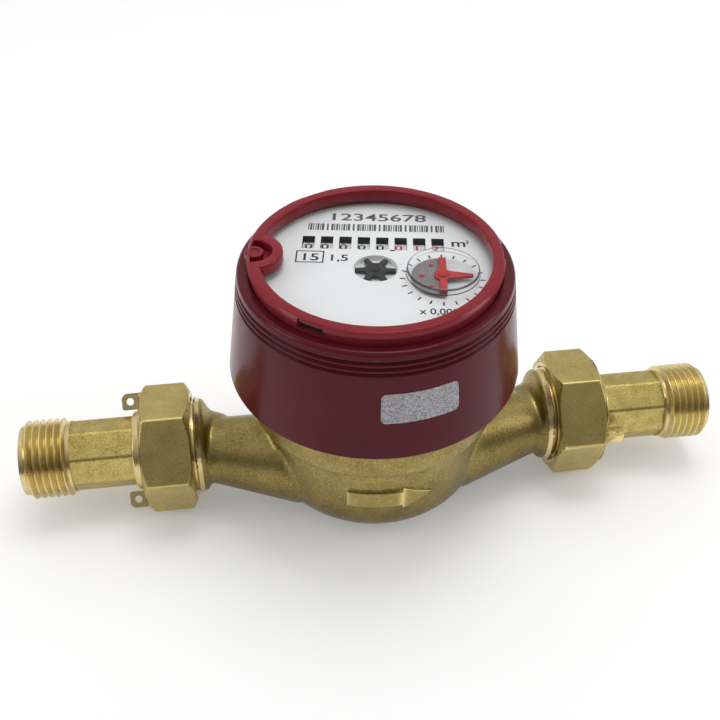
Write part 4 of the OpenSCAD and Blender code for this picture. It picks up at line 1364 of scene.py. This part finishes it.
@dataclass
class DialPrint:
    """The dial and everything printed on it, in the dial's own frame, in millimetres."""

    lift: float = 0.004
    thickness: float = 0.012
    serial: Line = Line("12345678", (0, 20.7), 3.3, 1.4)
    unit: Line = Line("m", (20.4, 9.9), 3.2, 1.15)
    unit_power: Line = Line("3", (22.6, 11.2), 1.5)
    factor: Line = Line("x 0,0001", (10.4, -17.4), 2.3, 0.95, Anchor.LEFT)
    bore: Line = Line("15", (-16.2, 2.75), 3.0, 1.2)
    flow: Line = Line("1,5", (-9.2, 2.75), 2.7, 1.15)
    decimal_at: Point = (4.0, 7.6)
    decimal_size: Point = (1.2, 0.55)
    frame_corners: tuple[Point, Point] = ((-19.5, 1.95), (-12.9, 6.6))
    frame_line: float = 0.36
    tick_radius: float = 8.9
    tick_size: Point = (1.3, 0.4)
    ticks: int = 20
    bars: int = 58
    bar_ends: Point = (-17.6, 17.2)
    bar_row: float = 17.5
    bar_height: float = 3.0
    window_half: float = 3.2
    window_reach: float = 25.0
    window_depth: Point = (0.7, 0.05)

    def __post_init__(self) -> None:
        """Reads the dial's top from the frame."""
        self.top = top_of("dial_plate")

    def build(self) -> None:
        """Makes the dial and prints on it."""
        self.plate()
        self.ink("serial_digits", self.words(self.serial), Finishes.GREY_INK)
        self.ink("bar_code", self.bar_code(), Finishes.GREY_INK)
        self.ink("unit_mark", self.words(self.unit).join(self.words(self.unit_power)))
        self.ink("decimal_mark", self.bar(self.decimal_at, self.decimal_size))
        self.ink("pointer_scale", self.scale())
        self.ink("pointer_factor", self.words(self.factor))
        self.ink("size_frame", self.size_frame())
        self.ink("size_digits", self.words(self.bore))
        self.ink("flow_digits", self.words(self.flow))

    def plate(self) -> None:
        """The dial, with the walls of its windows painted black as painted shade."""
        back = turned(-Layout.DIAL_TURN)
        low, high = (self.top - depth for depth in self.window_depth)

        def in_window(centre: Vector) -> bool:
            """Whether a face lies on a window's wall, which is painted black as shade."""
            flat = back @ centre
            in_row = abs(flat.y - Layout.WINDOW_ROW) < self.window_half
            return in_row and math.hypot(flat.x, flat.y) < self.window_reach and low < centre.z < high

        # Painted shade: the windows' walls get the black ink finish.
        made = Mesh.of_node("dial_plate", joined=False).paint(1, in_window)
        made.finish("printed_dial", "head", (Finishes.DIAL, Finishes.INK), ["dial_plate"], 12, True)

    def ink(self, name: str, made: Mesh, finish: Finish = Finishes.INK) -> None:
        """Turns a flat print to the dial's direction and makes it a piece."""
        made.move(turned(Layout.DIAL_TURN)).finish(name, "head", (finish,), smooth=10)

    def words(self, line: Line) -> Mesh:
        """The characters of a line, lying on the dial."""
        return Mesh.of_text(line, self.thickness).move(moved(0, 0, self.top + self.lift))

    def bar(self, at: Point, size: Point) -> Mesh:
        """A filled bar with its centre and size."""
        low = self.top + self.lift
        return Mesh().slab(rectangle(at, size), low, low + self.thickness)

    def bar_code(self) -> Mesh:
        """A row of bars of a few widths, shuffled by a sum that stands for no number."""
        made = Mesh()
        left, right = self.bar_ends
        step = (right - left) / self.bars
        for i in range(self.bars):
            mix = (i * 7 + i * i * 3) % 11
            if mix not in (2, 5, 9):
                wide = step * (0.42 + 0.2 * (mix % 4))
                made.join(self.bar((left + (i + 0.5) * step, self.bar_row), (wide, self.bar_height)))
        return made

    def scale(self) -> Mesh:
        """Ticks round the small pointer."""
        made = Mesh()
        for i in range(self.ticks):
            tick = self.bar((self.tick_radius + self.tick_size[0] / 2, 0), self.tick_size)
            made.join(tick.move(turned(360 * i / self.ticks)))
        return made.move(moved(*Layout.POINTER))

    def size_frame(self) -> Mesh:
        """A thin rectangle round the size digits."""
        (x0, y0), (x1, y1) = self.frame_corners
        made, line = Mesh(), self.frame_line
        for y in (y0, y1):
            made.join(self.bar(((x0 + x1) / 2, y), (x1 - x0 + line, line)))
        for x in (x0, x1):
            made.join(self.bar((x, (y0 + y1) / 2), (line, y1 - y0)))
        return made


@dataclass
class DigitDrums:
    """Digits printed round the counter's drums, in millimetres."""

    reading: str = "00000012"
    red_from: int = 6
    size: float = 2.35
    stretch: float = 1.3
    half_band: float = 1.5
    lift: float = 0.006
    thickness: float = 0.01
    strips: int = 7

    def build(self) -> None:
        """Prints each drum."""
        for i, shown in enumerate(self.reading, start=1):
            self.print_drum(i, int(shown))

    def print_drum(self, index: int, shown: int) -> None:
        """Prints ten digits round one drum.

        Args:
            index: Which drum, from the left.
            shown: The digit that stands at its top.
        """
        low, high = self.local_box(index)
        radius, axis = (high.z - low.z) / 2, (high.z + low.z) / 2
        made = Mesh()
        for digit in range(10):
            made.join(self.digit(digit, math.radians((digit - shown) * 36), radius))
        made.move(turned(Layout.DIAL_TURN) @ moved(low.x + self.half_band, Layout.WINDOW_ROW, axis))
        ink = Finishes.RED_INK if index >= self.red_from else Finishes.INK
        made.finish(f"drum_{index}_digits", f"drum_{index}", (ink,), smooth=20)

    @staticmethod
    def local_box(index: int) -> tuple[Vector, Vector]:
        """A drum's lowest and highest corner in the dial's own frame."""
        back = turned(-Layout.DIAL_TURN)
        points = [back @ v.co / MM for v in frame["nodes"][f"number_drum_{index}"].data.vertices]
        low, high = (Vector(end(p[k] for p in points) for k in range(3)) for end in (min, max))
        return low, high

    def digit(self, digit: int, angle: float, radius: float) -> Mesh:
        """One digit wrapped on a drum about the X axis.

        Args:
            digit: The digit.
            angle: How far round from the top, in radians.
            radius: The drum's radius.

        Returns:
            The wrapped print.
        """
        line = Line(str(digit), (0, -self.size / 2), self.size, self.stretch)
        made = Mesh.of_text(line, self.thickness)
        for i in range(self.strips):
            made.cut((0, 1, 0), (i + 0.5) / self.strips * self.size - self.size / 2)

        def wrap(p: Vector) -> Vector:
            """Lays a flat point on the drum."""
            way, far = angle + p.y / radius, radius + self.lift + p.z
            return Vector((p.x, far * math.sin(way), far * math.cos(way)))

        return made.shape(wrap)


@dataclass
class PointerDetail:
    """The small pointer with its half disc and rivets, and the star wheel, in millimetres."""

    pointer_edge: float = 0.12
    disc_edge: float = 0.08
    star_edge: float = 0.1
    boss_radius: float = 0.95
    boss_chamfer: float = 0.15
    boss_sunk: float = 0.2
    boss_wall: float = 0.1
    rivet_outline: tuple[Point, ...] = ((0, -0.1), (0.62, -0.1), (0.62, 0.1), (0.4, 0.28), (0, 0.32))
    rivet_ring: float = 5.0
    rivet_ways: tuple[float, float, float] = (122, 180, 238)

    def build(self) -> None:
        """Makes the pieces."""
        pointer = Mesh.of_node("litre_pointer").soften(self.pointer_edge, 35)
        pointer.finish("red_pointer", "pointer", (Finishes.POINTER,), ["litre_pointer"])
        disc = Mesh.of_node("pointer_half_disc").soften(self.disc_edge, 35)
        disc.finish("grey_half_disc", "pointer", (Finishes.GREY,), ["pointer_half_disc"])
        self.star()
        self.rivets()

    def star(self) -> None:
        """The star wheel with a cap over its arbor."""
        low, high = top_of("star_wheel") - self.boss_sunk, top_of("centre_arbor") + self.boss_wall
        wide, edge = self.boss_radius, self.boss_chamfer
        outline = [(0, low), (wide, low), (wide, high - edge), (wide - edge, high), (0, high)]
        made = Mesh.of_node("star_wheel").soften(self.star_edge, 35).join(Mesh().lathe(outline, 32))
        made.finish("flow_star", "centre", (Finishes.BLACK,), ["star_wheel"])

    def rivets(self) -> None:
        """Red rivet heads on the half disc."""
        top, made = top_of("pointer_half_disc"), Mesh()
        head = [(r, top + z) for r, z in self.rivet_outline]
        for way in self.rivet_ways:
            place = moved(*Layout.POINTER) @ turned(way) @ moved(self.rivet_ring, 0)
            made.join(Mesh().lathe(head, 24).move(place))
        made.move(turned(Layout.DIAL_TURN)).finish("half_disc_rivets", "pointer", (Finishes.POINTER,))


@dataclass(frozen=True)
class Lamp:
    """A soft square lamp that faces the object, in metres and watts."""

    name: str
    place: tuple[float, float, float]
    size: float
    power: float
    aim: tuple[float, float, float] = (0, 0, 0.03)

    def hang(self) -> None:
        """Puts the lamp in the scene."""
        data = bpy.data.lights.new(self.name, "AREA")
        data.size, data.energy = self.size, self.power
        lamp = linked(self.name, data)
        lamp.location = self.place
        way = Vector(self.aim) - Vector(self.place)
        lamp.rotation_euler = way.to_track_quat("-Z", "Y").to_euler()


@dataclass
class Studio:
    """Floor, light and the camera at the photograph's viewing angle."""

    azimuth: float = -8.07
    elevation: float = 41.0
    roll: float = 0.47
    distance: float = 274.77
    shift: Point = (-3.43, 18.93)
    lens: float = 49.59
    floor_size: float = 3.0
    floor_glow: float = 0.2
    bright_way: tuple[float, float, float] = (0, 0.5, 0.866)
    room_span: Point = (-0.2, 1.0)
    room_light: Point = (0.12, 0.85)
    lamps: tuple[Lamp, ...] = (
        Lamp("top_light", (0.12, 0.15, 0.85), 0.4, 1.7),
        Lamp("left_light", (-0.8, -0.1, 0.45), 0.35, 1.2),
        Lamp("right_light", (0.8, -0.1, 0.4), 0.35, 1.4),
    )

    def build(self) -> None:
        """Sets up the scene round the object."""
        self.camera()
        self.floor()
        self.world()
        for lamp in self.lamps:
            lamp.hang()
        bpy.context.scene.view_settings.view_transform = "Standard"

    def camera(self) -> None:
        """The camera, aimed as the photograph was taken."""
        a, e, r = (math.radians(x) for x in (self.azimuth, self.elevation, self.roll))
        back = Vector((math.sin(a) * math.cos(e), -math.cos(a) * math.cos(e), math.sin(e)))
        level = Vector((math.cos(a), math.sin(a), 0))
        rise = back.cross(level)
        right = math.cos(r) * level + math.sin(r) * rise
        up = math.cos(r) * rise - math.sin(r) * level
        aim = Vector((0, 0, Layout.PIPE_HEIGHT))
        place = right * self.shift[0] + up * self.shift[1] + back * self.distance + aim
        data = bpy.data.cameras.new("photo_camera")
        data.lens = self.lens
        data.sensor_width = 36
        data.clip_start, data.clip_end = 0.01, 20
        camera = linked("photo_camera", data)
        camera.matrix_world = moved(*place) @ Matrix((right, up, back)).transposed().to_4x4()
        bpy.context.scene.camera = camera

    def floor(self) -> None:
        """A pale floor under the lowest point, that glows faintly where it is seen."""
        made = Mesh()
        bmesh.ops.create_grid(made.bm, x_segments=1, y_segments=1, size=self.floor_size)
        floor = made.move(Matrix.Translation((0, 0, CAD_BOX[0].z))).as_object("floor")
        bench = ShaderBench("floor_white")
        cloud = bench.noise(bench.coords(), 40, 2)
        bench.set(
            Base_Color=bench.ramp(cloud, (0.9, 0.9, 0.9), (0.92, 0.92, 0.92)),
            Roughness=0.9,
            Emission_Color=(1, 1, 1, 1),
        )
        path = bench.add("ShaderNodeLightPath").outputs
        seen: Socket = path["Is Camera Ray"]
        for kind in ("Is Glossy Ray", "Is Transmission Ray"):
            more = bench.add("ShaderNodeMath", {"operation": "MAXIMUM"})
            bench.feed(more.inputs[0], seen)
            bench.feed(more.inputs[1], path[kind])
            seen = more.outputs["Value"]
        bench.set(Emission_Strength=bench.spread(seen, 0, self.floor_glow, (0, 1)))
        floor.data.materials.append(bench.material)

    def world(self) -> None:
        """A pale room, brightest above and behind the object."""
        world = bpy.data.worlds.new("pale_room")
        bpy.context.scene.world = world
        world.use_nodes = True
        tree = world.node_tree
        background = tree.nodes["Background"]
        background.inputs["Color"].default_value = (1, 1, 1, 1)
        place = tree.nodes.new("ShaderNodeTexCoord")
        bright = tree.nodes.new("ShaderNodeVectorMath")
        bright.operation = "DOT_PRODUCT"
        bright.inputs[1].default_value = self.bright_way
        tree.links.new(place.outputs["Generated"], bright.inputs[0])
        depth = tree.nodes.new("ShaderNodeMapRange")
        for kind, ends in (("From", self.room_span), ("To", self.room_light)):
            for end, value in zip(("Min", "Max"), ends):
                depth.inputs[f"{kind} {end}"].default_value = value
        tree.links.new(bright.outputs["Value"], depth.inputs["Value"])
        tree.links.new(depth.outputs["Result"], background.inputs["Strength"])


def dress_nodes() -> None:
    """Gives every CAD node that still shows the finish of its slot."""
    slots = {s["node"]: s["material_slot"] for s in frame["record"]["subparts"]}
    for name, node in frame["nodes"].items():
        node.data.materials.clear()
        node.data.materials.append(Finishes.material(Finishes.BY_SLOT[slots[name]]))


def main() -> None:
    """Builds the dressed meter and its studio."""
    logging.basicConfig(level=logging.INFO, format="%(message)s")
    dress_nodes()
    BrassBody().build()
    for side in Side:
        UnionCoupling(side).build()
    RedHead().build()
    DialPrint().build()
    DigitDrums().build()
    PointerDetail().build()
    Studio().build()


if __name__ == "__main__":
    main()
